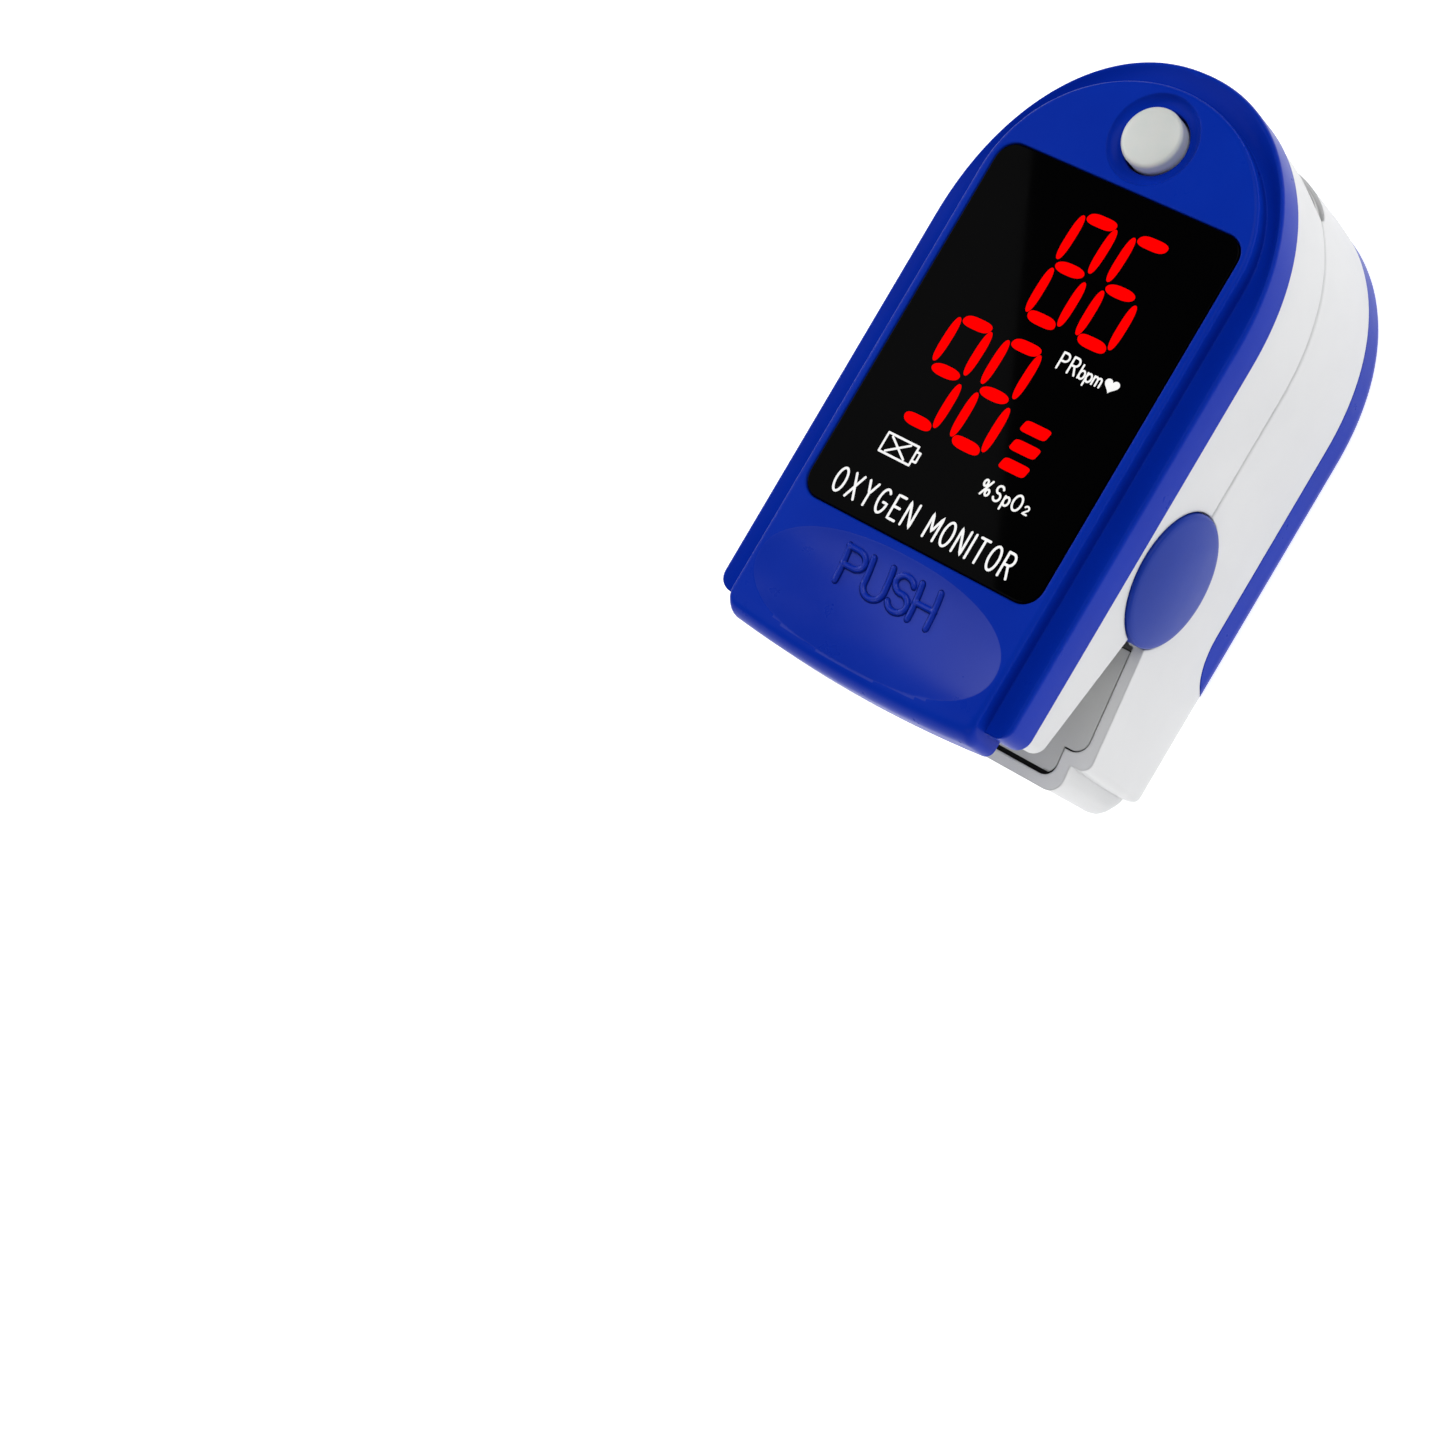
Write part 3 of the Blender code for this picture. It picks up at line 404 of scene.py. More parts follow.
looks = {
    "bluePlastic": {"colour": (0.001, 0.028, 0.43), "shade": (0.0014, 0.032, 0.46), "roughness": 0.30,
                    "uneven": 0.03, "grain": 0.16, "grainStrength": 0.12, "grainDepth": 0.008, "edge": 0.22,
                    "specular": 0.05},
    "capBlue": {"colour": (0.006, 0.034, 0.34), "shade": (0.007, 0.038, 0.37), "roughness": 0.36,
                "uneven": 0.03, "grain": 0.2, "grainStrength": 0.1, "edge": 0.12, "specular": 0.15},
    "dishBlue": {"colour": (0.001, 0.028, 0.43), "shade": (0.0014, 0.032, 0.46), "roughness": 0.30,
                 "uneven": 0.03, "grain": 0.2, "grainStrength": 0.2, "grainDepth": 0.010, "edge": 0.2,
                 "specular": 0.28},
    "whitePlastic": {"colour": (0.80, 0.805, 0.81), "shade": (0.77, 0.776, 0.785), "roughness": 0.42,
                     "grain": 0.3, "grainStrength": 0.08, "edge": 0.3, "specular": 0.4},
    "buttonWhite": {"colour": (0.80, 0.82, 0.79), "shade": (0.77, 0.80, 0.77), "roughness": 0.38,
                    "cloud": 1.6, "grain": 0.25, "grainStrength": 0.12, "edge": 0.1, "subsurface": 0.05},
    "greyPlastic": {"colour": (0.60, 0.605, 0.60), "shade": (0.56, 0.565, 0.56), "roughness": 0.5,
                    "grain": 0.3, "grainStrength": 0.15, "edge": 0.15},
    "silicone": {"colour": (0.62, 0.625, 0.62), "shade": (0.58, 0.585, 0.58), "roughness": 0.55,
                 "grain": 0.35, "grainStrength": 0.25, "sheen": 0.15, "edge": 0.15},
    "smokedWindow": {"colour": (0.0006, 0.0006, 0.0007), "shade": (0.0008, 0.0008, 0.0009),
                     "roughness": 0.03, "uneven": 0.008, "grain": 0.9, "grainStrength": 0.01,
                     "grainDepth": 0.002, "specular": 0.03},
    "displayBlack": {"colour": (0.02, 0.02, 0.021), "shade": (0.03, 0.03, 0.031), "roughness": 0.5},
    "chipBlack": {"colour": (0.018, 0.018, 0.02), "shade": (0.03, 0.03, 0.032), "roughness": 0.45,
                  "grain": 0.12, "edge": 0.05},
    "clearLens": {"colour": (0.85, 0.88, 0.9), "shade": (0.82, 0.85, 0.88), "roughness": 0.08,
                  "uneven": 0.03, "transmission": 0.7, "edge": 0.08},
    "steel": {"colour": (0.60, 0.60, 0.61), "shade": (0.50, 0.50, 0.52), "roughness": 0.28,
              "metallic": 1.0, "uneven": 0.08, "grain": 0.1, "edge": 0.05},
    "nickel": {"colour": (0.66, 0.63, 0.58), "shade": (0.57, 0.54, 0.50), "roughness": 0.25,
               "metallic": 1.0, "uneven": 0.08, "grain": 0.12, "edge": 0.05},
    "flexAmber": {"colour": (0.52, 0.22, 0.04), "shade": (0.45, 0.17, 0.03), "roughness": 0.35,
                  "cloud": 1.2, "coat": 0.3, "coatRoughness": 0.25},
    # painted shade: a darker blue for the strip round the letters' feet
    "paintedShadeBlue": {"colour": (0.0006, 0.008, 0.14), "shade": (0.0008, 0.010, 0.16), "roughness": 0.5,
                   "specular": 0.05},
    # painted shade: black for the strip that darkens the seam round the lower liner
    "seamShadeBlack": {"colour": (0.006, 0.006, 0.006), "shade": (0.01, 0.01, 0.01), "roughness": 0.7,
                  "specular": 0.1},
    # printed ink with a painted glow that keeps it bright grey
    "printedInkPaintedGlow": {"colour": (0.5, 0.5, 0.5), "shade": (0.5, 0.5, 0.48), "roughness": 0.6, "specular": 0.0,
                   "glow": (0.62, 0.62, 0.62), "glowShade": (0.56, 0.56, 0.56), "strength": 1.0,
                   "cells": 0.5},
    "litSegment": {"colour": (0.25, 0.0, 0.0), "shade": (0.2, 0.0, 0.0), "roughness": 0.6, "specular": 0.0,
                   "glow": (1.0, 0.0, 0.0), "glowShade": (0.93, 0.0, 0.0), "strength": 1.0, "cells": 0.4},
    "boardGreen": {"colour": (0.008, 0.10, 0.035), "shade": (0.012, 0.13, 0.05), "roughness": 0.3,
                   "track": (0.03, 0.22, 0.09), "trackPitch": 1.6},
    "cellWrap": {"colour": (0.03, 0.035, 0.05), "shade": (0.04, 0.045, 0.06), "roughness": 0.3,
                 "bandY": 8.0, "bandColour": (0.55, 0.42, 0.20), "metallic": 0.6, "edge": 0.1},
}
makers = {"printedInkPaintedGlow": glowFinish, "litSegment": glowFinish, "boardGreen": boardFinish,
          "cellWrap": cellFinish}
finishes = {name: makers.get(name, makeFinish)(name, look) for name, look in looks.items()}
print("finishes made")


# outlines shared by the shells and the cover
outline = {
    "endDepth": 20.25,      # how far the rounded finger end runs out from the straight sides
    "flangeTail": -27.6,
    "corner": 1.4,
    "endPower": 2.12,       # a little squarer than an ellipse
    "shellInset": 0.3,      # the white shells stand this far inside the blue flange
    "lowerTail": -25.75,
    "upperTail": -27.0,
    "wall": 1.6,
    "rimWall": 1.05,        # the lower shell's thinner rim round the squeeze notch
    "rimCorner": 2.85,      # its plan corner before its inset
    "foot": ((1.3, 0.0), (0.98, 0.08), (0.75, 0.25), (0.55, 0.5), (0.4, 0.8), (0.28, 1.25), (0.2, 1.8)),
    "coverScrews": ((12.6, -20.5), (10.95, 17.9)),
    "linerScrews": ((12.1, 2.5), (12.1, 13.5)),
    "screwBore": 0.95,
    "arcSteps": 90,
    "cornerSteps": 8,
}


def bodyOutline(inset=0.0, half=flangeHalf, tail=outline["flangeTail"], centre=endY - outline["endDepth"],
                depth=outline["endDepth"], corner=outline["corner"], power=outline["endPower"]):
    half -= inset
    tail += inset
    depth -= inset
    corner = max(corner - inset, 0.3)
    points = []
    for step in range(outline["cornerSteps"] + 1):
        angle = -pi / 2 + pi / 2 * step / outline["cornerSteps"]
        points.append((half - corner + corner * cos(angle), tail + corner + corner * sin(angle)))
    for step in range(outline["arcSteps"] + 1):
        angle = pi * step / outline["arcSteps"]
        across = copysign(abs(cos(angle)) ** (2 / power), cos(angle))
        points.append((half * across, centre + depth * abs(sin(angle)) ** (2 / power)))
    for step in range(outline["cornerSteps"] + 1):
        angle = pi + pi / 2 * step / outline["cornerSteps"]
        points.append((-half + corner + corner * cos(angle), tail + corner + corner * sin(angle)))
    return points


def shellOutline(inset=0.0, tail=outline["lowerTail"]):
    return bodyOutline(inset + outline["shellInset"], tail=tail - outline["shellInset"])


def footLevels():
    # the rounded foot that the lower shell and the battery cover share
    return [(shellOutline(inset), z) for inset, z in outline["foot"]]


def tailEnd(inset, front):
    # the shell's outline cut straight across at front, so that only its tail is left
    shellTail = outline["lowerTail"] - outline["shellInset"]
    whole = bodyOutline(inset + outline["shellInset"], tail=shellTail, corner=outline["rimCorner"])
    points = [point for point in whole if point[1] < front]
    middle = outline["cornerSteps"] + 1
    right = points[middle - 1][0]
    return points[:middle] + [(right, front), (-right, front)] + points[middle:]


# top cover
cover = {
    "flangeTop": 28.55,
    "plateauHalf": 13.55,
    "plateauCentre": 14.0,
    "plateauDepth": 12.8,
    "plateauCorner": 0.9,
    "bow": 0.65,             # how far the apron's tail edge bows out at its middle
    "bowSteps": 24,
    "roll": (1.9, 2.4),      # the apron's tail edge rolls over an ellipse, in (y, z)
    "rollSteps": 16,
    "grooveDepth": 0.55,     # how far the flange dips beside the plateau
    "edgeRound": 0.42,
    "roofZ": 27.2,
    "windowGap": 0.12,
    "buttonGap": 0.22,
    "dishHalf": (12.9, 5.35),
    "dishCentre": (0.0, -23.4),
    "dishDepth": 1.4,
    "dishPower": 2.2,        # how squared the dish's outline is
}


def plateauOutline(inset=0.0, setBack=0.0):
    # setBack draws in only the bowed tail edge, for the apron's rolled front
    points = bodyOutline(inset, half=cover["plateauHalf"], tail=coverLow.y + cover["bow"] + setBack,
                         centre=cover["plateauCentre"], depth=cover["plateauDepth"],
                         corner=cover["plateauCorner"], power=2.0)
    reach, tail = points[0]
    for step in range(1, cover["bowSteps"]):
        share = 2 * step / cover["bowSteps"] - 1
        points.append((reach * share, tail - cover["bow"] * (1 - share * share)))
    return points


def plateauLevels(foot):
    # the plateau's side, its tail edge rolling over an ellipse and its rim softly rounded
    top, edge = coverTop, cover["edgeRound"]
    rollY, rollZ = cover["roll"]
    made = [(plateauOutline(0.3), foot + 0.02), (plateauOutline(0.1), foot + 0.12),
            (plateauOutline(), foot + 0.3)]
    for i in range(cover["rollSteps"] + 1):
        angle = pi / 2 * i / cover["rollSteps"]
        z = top - rollZ * (1 - sin(angle))
        over = max(0.0, (z - top + edge) / edge)
        inset = edge * (1 - sqrt(max(0.0, 1 - over * over)))
        made.append((plateauOutline(inset, rollY * (1 - cos(angle))), z))
    return made


def between(first, second, share):
    return [(a[0] + (b[0] - a[0]) * share, a[1] + (b[1] - a[1]) * share) for a, b in zip(first, second)]


def dishDrop(x, y):
    # Depth of the thumb dish below the cover's top at a point.
    halfX, halfY = cover["dishHalf"]
    power = cover["dishPower"]
    centreX, centreY = cover["dishCentre"]
    s = abs((x - centreX) / halfX) ** power + abs((y - centreY) / halfY) ** power
    return cover["dishDepth"] * (1 - s ** (2 / power))


def dishCutter():
    halfX, halfY = cover["dishHalf"]
    power = cover["dishPower"]
    rings = []
    spokes = 160
    for r in [1.12 - 0.12 * i / 3 for i in range(3)] + [1 - i / 28 for i in range(28)]:
        ring = []
        for k in range(spokes):
            angle = 2 * pi * (k + 0.5) / spokes
            c, s = cos(angle), sin(angle)
            scale = r / (abs(c) ** power + abs(s) ** power) ** (1 / power)
            x = halfX * scale * c + cover["dishCentre"][0]
            y = halfY * scale * s + cover["dishCentre"][1]
            ring.append((x, y, coverTop - dishDrop(x, y)))
        rings.append(ring)
    lid = [(x, y, coverTop + 1.5) for x, y, _ in rings[0]]
    return loft([lid] + rings)


def creaseBetweenFinishes(mesh):
    # a crisp line wherever two finishes meet
    edges = {edge.key: edge for edge in mesh.edges}
    found = {}
    for face in mesh.polygons:
        for key in face.edge_keys:
            if found.setdefault(key, face.material_index) != face.material_index:
                edges[key].use_edge_sharp = True


def makeTopCover():
    low, high = coverLow.z, cover["flangeTop"]
    flange = bodyOutline()
    obj = meshObject("topCover", levels(
        (bodyOutline(0.3), low), (bodyOutline(0.1), low + 0.08), (bodyOutline(0.0), low + 0.25),
        (flange, high - 0.42), (bodyOutline(0.05), high - 0.2), (bodyOutline(0.16), high - 0.06),
        (bodyOutline(0.34), high)))
    wall = bodyOutline(0.0, half=cover["plateauHalf"], tail=coverLow.y, centre=cover["plateauCentre"],
                       depth=cover["plateauDepth"], corner=cover["plateauCorner"], power=2.0)
    dip = high - cover["grooveDepth"]
    cut(obj, levels(
        (between(wall, flange, 0.12), dip), (between(wall, flange, 0.34), dip + 0.03),
        (between(wall, flange, 0.55), dip + 0.17), (between(wall, flange, 0.72), dip + 0.36),
        (between(wall, flange, 0.88), high + 0.02), (between(wall, flange, 0.95), high + 1.0)))
    top = coverTop
    join(obj, levels(*plateauLevels(low)))
    cut(obj, prism(bodyOutline(outline["wall"], corner=1.5), low - 1, cover["roofZ"]))
    for x, y in outline["coverScrews"]:
        for side in (1, -1):
            join(obj, rodZ(1.65, low + 0.1, cover["roofZ"] + 0.4, (side * x, y), 32))
            cut(obj, rodZ(outline["screwBore"], low - 1, cover["roofZ"] - 0.1, (side * x, y), 32))
    gap = cover["windowGap"]
    cut(obj, levels(*(
        (roundRectangle(windowHigh.x + gap + flare, windowHigh.y + gap + flare, corner), z)
        for flare, corner, z in ((0, 1.9, windowLow.z - 0.15), (0, 1.9, top - 0.14),
                                 (0.05, 1.95, top - 0.05), (0.16, 2.0, top + 0.02), (0.16, 2.0, top + 1)))),
        prism(roundRectangle(11.65, 15.65, 1.0), cover["roofZ"] - 1, top))
    cut(obj, dishCutter())
    bore = buttonRadius + cover["buttonGap"]
    cut(obj, lathe([(0, cover["roofZ"] - 1), (bore, cover["roofZ"] - 1), (bore, top - 0.78),
                    *fillet((bore + 0.12, top - 0.78), 0.12, 180, 100, 4),
                    *fillet((bore + 0.2, top - 0.2 + 0.62), 1.1, 272, 322, 10),
                    (bore + 1.45, top + 0.6), (0, top + 0.6)], at=(0, buttonY, 0)))
    dress(obj, finishes["bluePlastic"])
    obj.data.materials.append(finishes["dishBlue"])
    for face in obj.data.polygons:
        x, y, z = face.center / mm
        if face.normal.z > 0.8 and 0.0 < dishDrop(x, y) and abs(coverTop - dishDrop(x, y) - z) < 0.05:
            face.material_index = 1
    creaseBetweenFinishes(obj.data)
    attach(obj, "upper_jaw")
    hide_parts("top_cover")


# lettering built from strokes
def arc(cx, cy, rx, ry, start, end, steps=12):
    return [(cx + rx * cos(radians(start + (end - start) * i / steps)),
             cy + ry * sin(radians(start + (end - start) * i / steps))) for i in range(steps + 1)]


glyphs = {
    # strokes in a box one unit high, with the glyph's width
    "P": (0.56, [[(0, 0), (0, 1)], [(0, 1), (0.28, 1), *arc(0.28, 0.75, 0.28, 0.25, 90, -90), (0, 0.5)]]),
    "U": (0.6, [[(0, 1), (0, 0.3), *arc(0.3, 0.3, 0.3, 0.3, 180, 360), (0.6, 1)]]),
    "S": (0.56, [[*arc(0.28, 0.755, 0.27, 0.245, 20, 260), *arc(0.28, 0.265, 0.28, 0.265, 80, -160)]]),
    "H": (0.58, [[(0, 0), (0, 1)], [(0.58, 0), (0.58, 1)], [(0, 0.5), (0.58, 0.5)]]),
    "O": (0.62, [arc(0.31, 0.5, 0.31, 0.5, 90, 450, 28)]),
    "X": (0.58, [[(0, 0), (0.58, 1)], [(0, 1), (0.58, 0)]]),
    "Y": (0.6, [[(0, 1), (0.3, 0.48), (0.6, 1)], [(0.3, 0.48), (0.3, 0)]]),
    "G": (0.62, [[*arc(0.31, 0.5, 0.31, 0.5, 50, 340, 24), (0.62, 0.46), (0.36, 0.46)]]),
    "E": (0.5, [[(0.5, 1), (0, 1), (0, 0), (0.5, 0)], [(0, 0.52), (0.44, 0.52)]]),
    "N": (0.58, [[(0, 0), (0, 1), (0.58, 0), (0.58, 1)]]),
    "M": (0.68, [[(0, 0), (0, 1), (0.34, 0.3), (0.68, 1), (0.68, 0)]]),
    "I": (0.0, [[(0, 0), (0, 1)]]),
    "T": (0.58, [[(0, 1), (0.58, 1)], [(0.29, 1), (0.29, 0)]]),
    "R": (0.56, [[(0, 0), (0, 1)], [(0, 1), (0.28, 1), *arc(0.28, 0.75, 0.27, 0.25, 90, -90), (0, 0.5)],
                 [(0.3, 0.5), (0.56, 0)]]),
    "b": (0.42, [[(0, 0), (0, 0.9)], arc(0.21, 0.28, 0.21, 0.28, 0, 360, 18)]),
    "p": (0.42, [[(0, -0.3), (0, 0.56)], arc(0.21, 0.28, 0.21, 0.28, 0, 360, 18)]),
    "m": (0.62, [[(0, 0), (0, 0.56)], [(0, 0.36), *arc(0.155, 0.38, 0.155, 0.18, 180, 0), (0.31, 0)],
                 [(0.31, 0.36), *arc(0.465, 0.38, 0.155, 0.18, 180, 0), (0.62, 0)]]),
    "%": (0.8, [arc(0.18, 0.76, 0.16, 0.2, 0, 360, 18), arc(0.62, 0.24, 0.16, 0.2, 0, 360, 18),
                [(0.14, 0), (0.66, 1)]]),
    "2": (0.34, [[*arc(0.17, 0.44, 0.16, 0.16, 160, -30), (0, 0.02), (0.34, 0.02)]]),
    " ": (0.3, []),
}


def lettering(bm, text, left, base, width, height, radius, surface, rise, squeeze=1.0):
    # Writes text so that its strokes span width from left; surface gives the height at (x, y).
    advance = sum(glyphs[letter][0] * squeeze for letter in text)
    space = (width / height - advance) / max(len(text) - 1, 1)
    cursor = left
    for letter in text:
        wide, strokes = glyphs[letter]
        for stroke in strokes:
            path = []
            for (ax, ay), (bx, by) in zip(stroke, stroke[1:]):
                pieces = max(1, round(8 * sqrt((bx - ax) ** 2 + (by - ay) ** 2)))
                for i in range(pieces):
                    share = i / pieces
                    path.append((ax + (bx - ax) * share, ay + (by - ay) * share))
            path.append(stroke[-1])
            points = []
            for x, y in path:
                px, py = cursor + x * squeeze * height, base + y * height
                points.append((px, py, surface(px, py)))
            tube(bm, points, radius, rise=rise)
        cursor += (wide * squeeze + space) * height


def flatTop(x, y):
    return coverTop


pushLabel = {
    "left": -5.6, "width": 9.95, "base": -22.55, "height": 3.1, "squeeze": 1.15,
    # the second layer is a dark strip that paints the shade round the letters' feet
    "layers": (("pushLabel", "dishBlue", 0.26, 0.30), ("pushPaintedShade", "paintedShadeBlue", 0.36, 0.05)),
}


def makePushLabel():
    # raised letters in the dish, and a darker strip round their feet that paints the shade at their base
    for name, finish, radius, rise in pushLabel["layers"]:
        bm = bmesh.new()
        lettering(bm, "PUSH", pushLabel["left"], pushLabel["base"], pushLabel["width"], pushLabel["height"],
                  radius, lambda x, y: coverTop - dishDrop(x, y), rise, pushLabel["squeeze"])
        obj = dress(meshObject(name, bm), finishes[finish], 60.0, False)
        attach(obj, "upper_jaw")


# display window with its lit digits and printed legends
window = {"corner": 1.8, "edge": 0.12}
digits = {
    "size": (4.35, 10.55),
    "barHalf": (1.45, 0.53),
    "postHalf": (0.43, 2.12),
    "proud": 0.02,
    "cells": (      # left edge, foot and figure
        (-2.55, 3.9, "8"), (2.75, 3.9, "6"), (-7.95, -8.2, "9"), (-2.7, -8.2, "8"),
    ),
    "bars": ((4.5, -4.05), (4.5, -5.8), (4.5, -7.55)),
    "levelHalf": (1.35, 0.53),
}


def makeWindow():
    edge, corner = window["edge"], window["corner"]
    obj = meshObject("displayWindow", levels(*(
        (roundRectangle(windowHigh.x - inset, windowHigh.y - inset, rounding), z)
        for inset, rounding, z in ((0, corner, windowLow.z), (0, corner, coverTop - edge),
                                   (edge * 0.3, corner, coverTop - edge * 0.3),
                                   (edge, corner - 0.1, coverTop)))))
    dress(obj, finishes["smokedWindow"])
    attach(obj, "upper_jaw")
    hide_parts("display_window")


def leaf(centre, half, power, lean=0.0, steps=40):
    # A blunt leaf outline: a superellipse, leaning by lean from foot to head.
    points = []
    for k in range(steps):
        angle = 2 * pi * k / steps
        c, s = cos(angle), sin(angle)
        x = half[0] * (1 if c > 0 else -1) * abs(c) ** (2 / power[0])
        y = half[1] * (1 if s > 0 else -1) * abs(s) ** (2 / power[1])
        points.append((centre[0] + x + lean * y / half[1], centre[1] + y))
    return points


def addPlate(bm, points, low, high):
    made = prism(points, low, high)
    mesh = bpy.data.meshes.new("plate")
    made.to_mesh(mesh)
    made.free()
    bm.from_mesh(mesh)
    bpy.data.meshes.remove(mesh)


def makeDigits():
    wide, tall = digits["size"]
    low, high = coverTop - 0.03, coverTop + digits["proud"]
    barHalf, postHalf = digits["barHalf"], digits["postHalf"]
    bm = bmesh.new()
    for left, foot, figure in digits["cells"]:
        midX = left + wide / 2
        inset = postHalf[0] + 0.05
        lowPost = foot + tall * 0.262
        highPost = foot + tall * 0.742
        segments = {
            "a": ((midX + 0.2, foot + tall - barHalf[1]), barHalf, (3.4, 2.3), 0.16),
            "g": ((midX - 0.15, foot + tall * 0.502), barHalf, (2.6, 2.1), 0.1),
            "d": ((midX - 0.05, foot + barHalf[1]), barHalf, (3.4, 2.3), -0.12),
            "b": ((left + inset, highPost), postHalf, (2.2, 2.7), 0.07),
            "c": ((left + wide - inset, highPost), postHalf, (2.2, 2.7), 0.07),
            "e": ((left + inset, lowPost), postHalf, (2.2, 2.7), 0.04),
            "f": ((left + wide - inset, lowPost), postHalf, (2.2, 2.7), 0.04),
        }
        for name, (centre, half, power, lean) in segments.items():
            if name in segmentNames[figure]:
                addPlate(bm, leaf(centre, half, power, lean), low, high)
    for centre in digits["bars"]:
        addPlate(bm, leaf(centre, digits["levelHalf"], (6.0, 5.0), 0.12), low, high)
    obj = dress(meshObject("litDigits", bm), finishes["litSegment"], 30.0, False)
    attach(obj, "upper_jaw")


segmentNames = {"8": "abcdefg", "6": "abdefg", "9": "abcdfg"}

legends = {
    # text, left, foot, width, letter height, stroke radius, squeeze
    "lines": (
        ("OXYGEN", -9.95, -16.0, 8.6, 2.15, 0.115, 0.72),
        ("MONITOR", 0.2, -16.0, 8.9, 2.15, 0.115, 0.72),
        ("PR", 3.1, 1.4, 1.8, 1.45, 0.095, 0.86),
        ("bpm", 5.3, 1.4, 2.2, 1.3, 0.09, 0.95),
        ("%S", 2.75, -10.7, 2.05, 1.35, 0.1, 0.86),
        ("p", 5.2, -10.7, 0.5, 1.35, 0.1, 0.95),
        ("O", 6.05, -10.7, 0.85, 1.35, 0.1, 1.0),
        ("2", 7.3, -10.62, 0.45, 1.2, 0.08, 1.1),
    ),
    "rise": 0.012,
    "heart": (8.5, 1.98, 0.72),
    "batteryIcon": (-7.7, -11.3, 3.3, 1.75),
}


def makeLegends():
    bm = bmesh.new()
    for text, left, foot, width, height, radius, squeeze in legends["lines"]:
        lettering(bm, text, left, foot, width, height, radius, flatTop, legends["rise"], squeeze)
    x, y, w, h = legends["batteryIcon"]
    z = coverTop
    for path in ([(x, y), (x, y + h), (x + w, y + h), (x + w, y), (x, y)],
                 [(x + 0.55, y + 0.2), (x + w - 0.75, y + h - 0.2)],
                 [(x + 0.55, y + h - 0.2), (x + w - 0.75, y + 0.2)],
                 [(x + w, y + 0.45), (x + w + 0.45, y + 0.45), (x + w + 0.45, y + h - 0.45),
                  (x + w, y + h - 0.45)]):
        for a, b in zip(path, path[1:]):
            tube(bm, [(*a, z), (*b, z)], 0.1, rise=legends["rise"])
    hx, hy, size = legends["heart"]
    heart = []
    for k in range(48):
        t = 2 * pi * k / 48
        heart.append((hx + size * sin(t) ** 3,
                      hy + size * (13 * cos(t) - 5 * cos(2 * t) - 2 * cos(3 * t) - cos(4 * t)) / 17))
    addPlate(bm, heart, z - 0.03, z + 0.014)
    # the legends get a painted glow, so they stay bright grey
    obj = dress(meshObject("printedLegends", bm), finishes["printedInkPaintedGlow"], 50.0, False)
    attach(obj, "upper_jaw")


# power button
button = {"flangeRadius": 3.5, "flangeThick": 0.7}
buttonRadius = 2.75


def makeButton():
    foot, top = buttonLow.z, buttonHigh.z
    dome = [(buttonRadius, top - 0.95), (buttonRadius, top - 0.78)]
    dome += fillet((buttonRadius - 0.5, top - 0.70), 0.5, 0, 62, 7)
    last = dome[-1]
    dome += [(last[0] * (1 - s), last[1] + (top - last[1]) * (1 - (1 - s) ** 2)) for s in
             (0.15, 0.3, 0.45, 0.6, 0.75, 0.88)]
    obj = meshObject("powerButton", lathe(
        [(0, foot), (button["flangeRadius"], foot), (button["flangeRadius"], foot + button["flangeThick"]),
         (buttonRadius, foot + button["flangeThick"]), *dome, (0, top)], at=(0, buttonY, 0)))
    dress(obj, finishes["buttonWhite"], 40.0)
    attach(obj, "power_button")
    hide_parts("power_button")


# white shells
notch = {"start": -14.5, "upper": (18.75, 22.05), "lower": (15.25, 12.0), "linerStart": -12.0}
tunnel = {"half": 9.2, "down": 2.9, "up": 3.4, "pad": 0.85, "edge": 0.8, "gap": 0.3}
ears = {"radius": 5.4, "upperX": (11.4, 12.7), "lowerX": (13.0, 14.3)}
shell = {"partingGap": 0.06, "partingRound": 0.22, "capGap": 0.16, "bayTop": 11.8,
         "bayLow": (-11, -24.2, 1.0), "bayHigh": (11, 22.4), "axleBore": 1.2, "farX": 18,
         "upperCapX": 12.9, "lowerCapX": 14.45, "ribX": (11.3, 14.9)}
coverStrip = {"height": 4.5, "front": -9.5, "tail": -14.5, "gap": 0.12}
capRadius = (capHigh.y - capLow.y) / 2


def notchLine(heights, y, shift=0.0):
    slope = (heights[1] - heights[0]) / (outline["flangeTail"] - notch["start"])
    return heights[0] + slope * (y - notch["start"]) + shift


def notchCutter(heights, start, far, edge, shift=0.0):
    # everything between the slanting notch face and the level edge, behind start
    return sidePrism([(start, edge), (start, notchLine(heights, start, shift)),
                      (far, notchLine(heights, far, shift)), (far, edge)], 20)


def tunnelBar(half, down, up, yLow, yHigh, steps=96):
    points = []
    for step in range(steps):
        angle = 2 * pi * (step + 0.5) / steps
        rise = up if sin(angle) > 0 else down
        points.append((partingZ + rise * sin(angle), half * cos(angle)))
    return alongY(prism(points[::-1], yLow, yHigh))


def archRoom(upper, yLow):
    # clearance round a finger pad
    half = tunnel["half"] + tunnel["edge"] + tunnel["gap"]
    reach = tunnel["up" if upper else "down"] + tunnel["pad"] + tunnel["gap"]
    return tunnelBar(half, *((5, reach) if upper else (reach, 5)), yLow, 34)


def earTab(radius, rootZ, xRange, steps=40):
    way = 1 if rootZ < axisZ else -1
    points = [(axisY + radius * cos(pi * i / steps), axisZ + way * radius * sin(pi * i / steps))
              for i in range(steps + 1)]
    points += [(axisY - radius, rootZ), (axisY + radius, rootZ)]
    return alongX(prism(points[::way], *xRange))


def stripFront(shift):
    points = [(coverStrip["tail"] - shift, -2.0)]
    for step in range(25):
        angle = pi - pi / 2 * step / 24
        points.append((coverStrip["front"] + (5.0 + shift) * cos(angle),
                       -0.4 + (coverStrip["height"] + 0.4 + shift) * sin(angle)))
    return points + [(40.0, coverStrip["height"] + shift), (40.0, -2.0)]


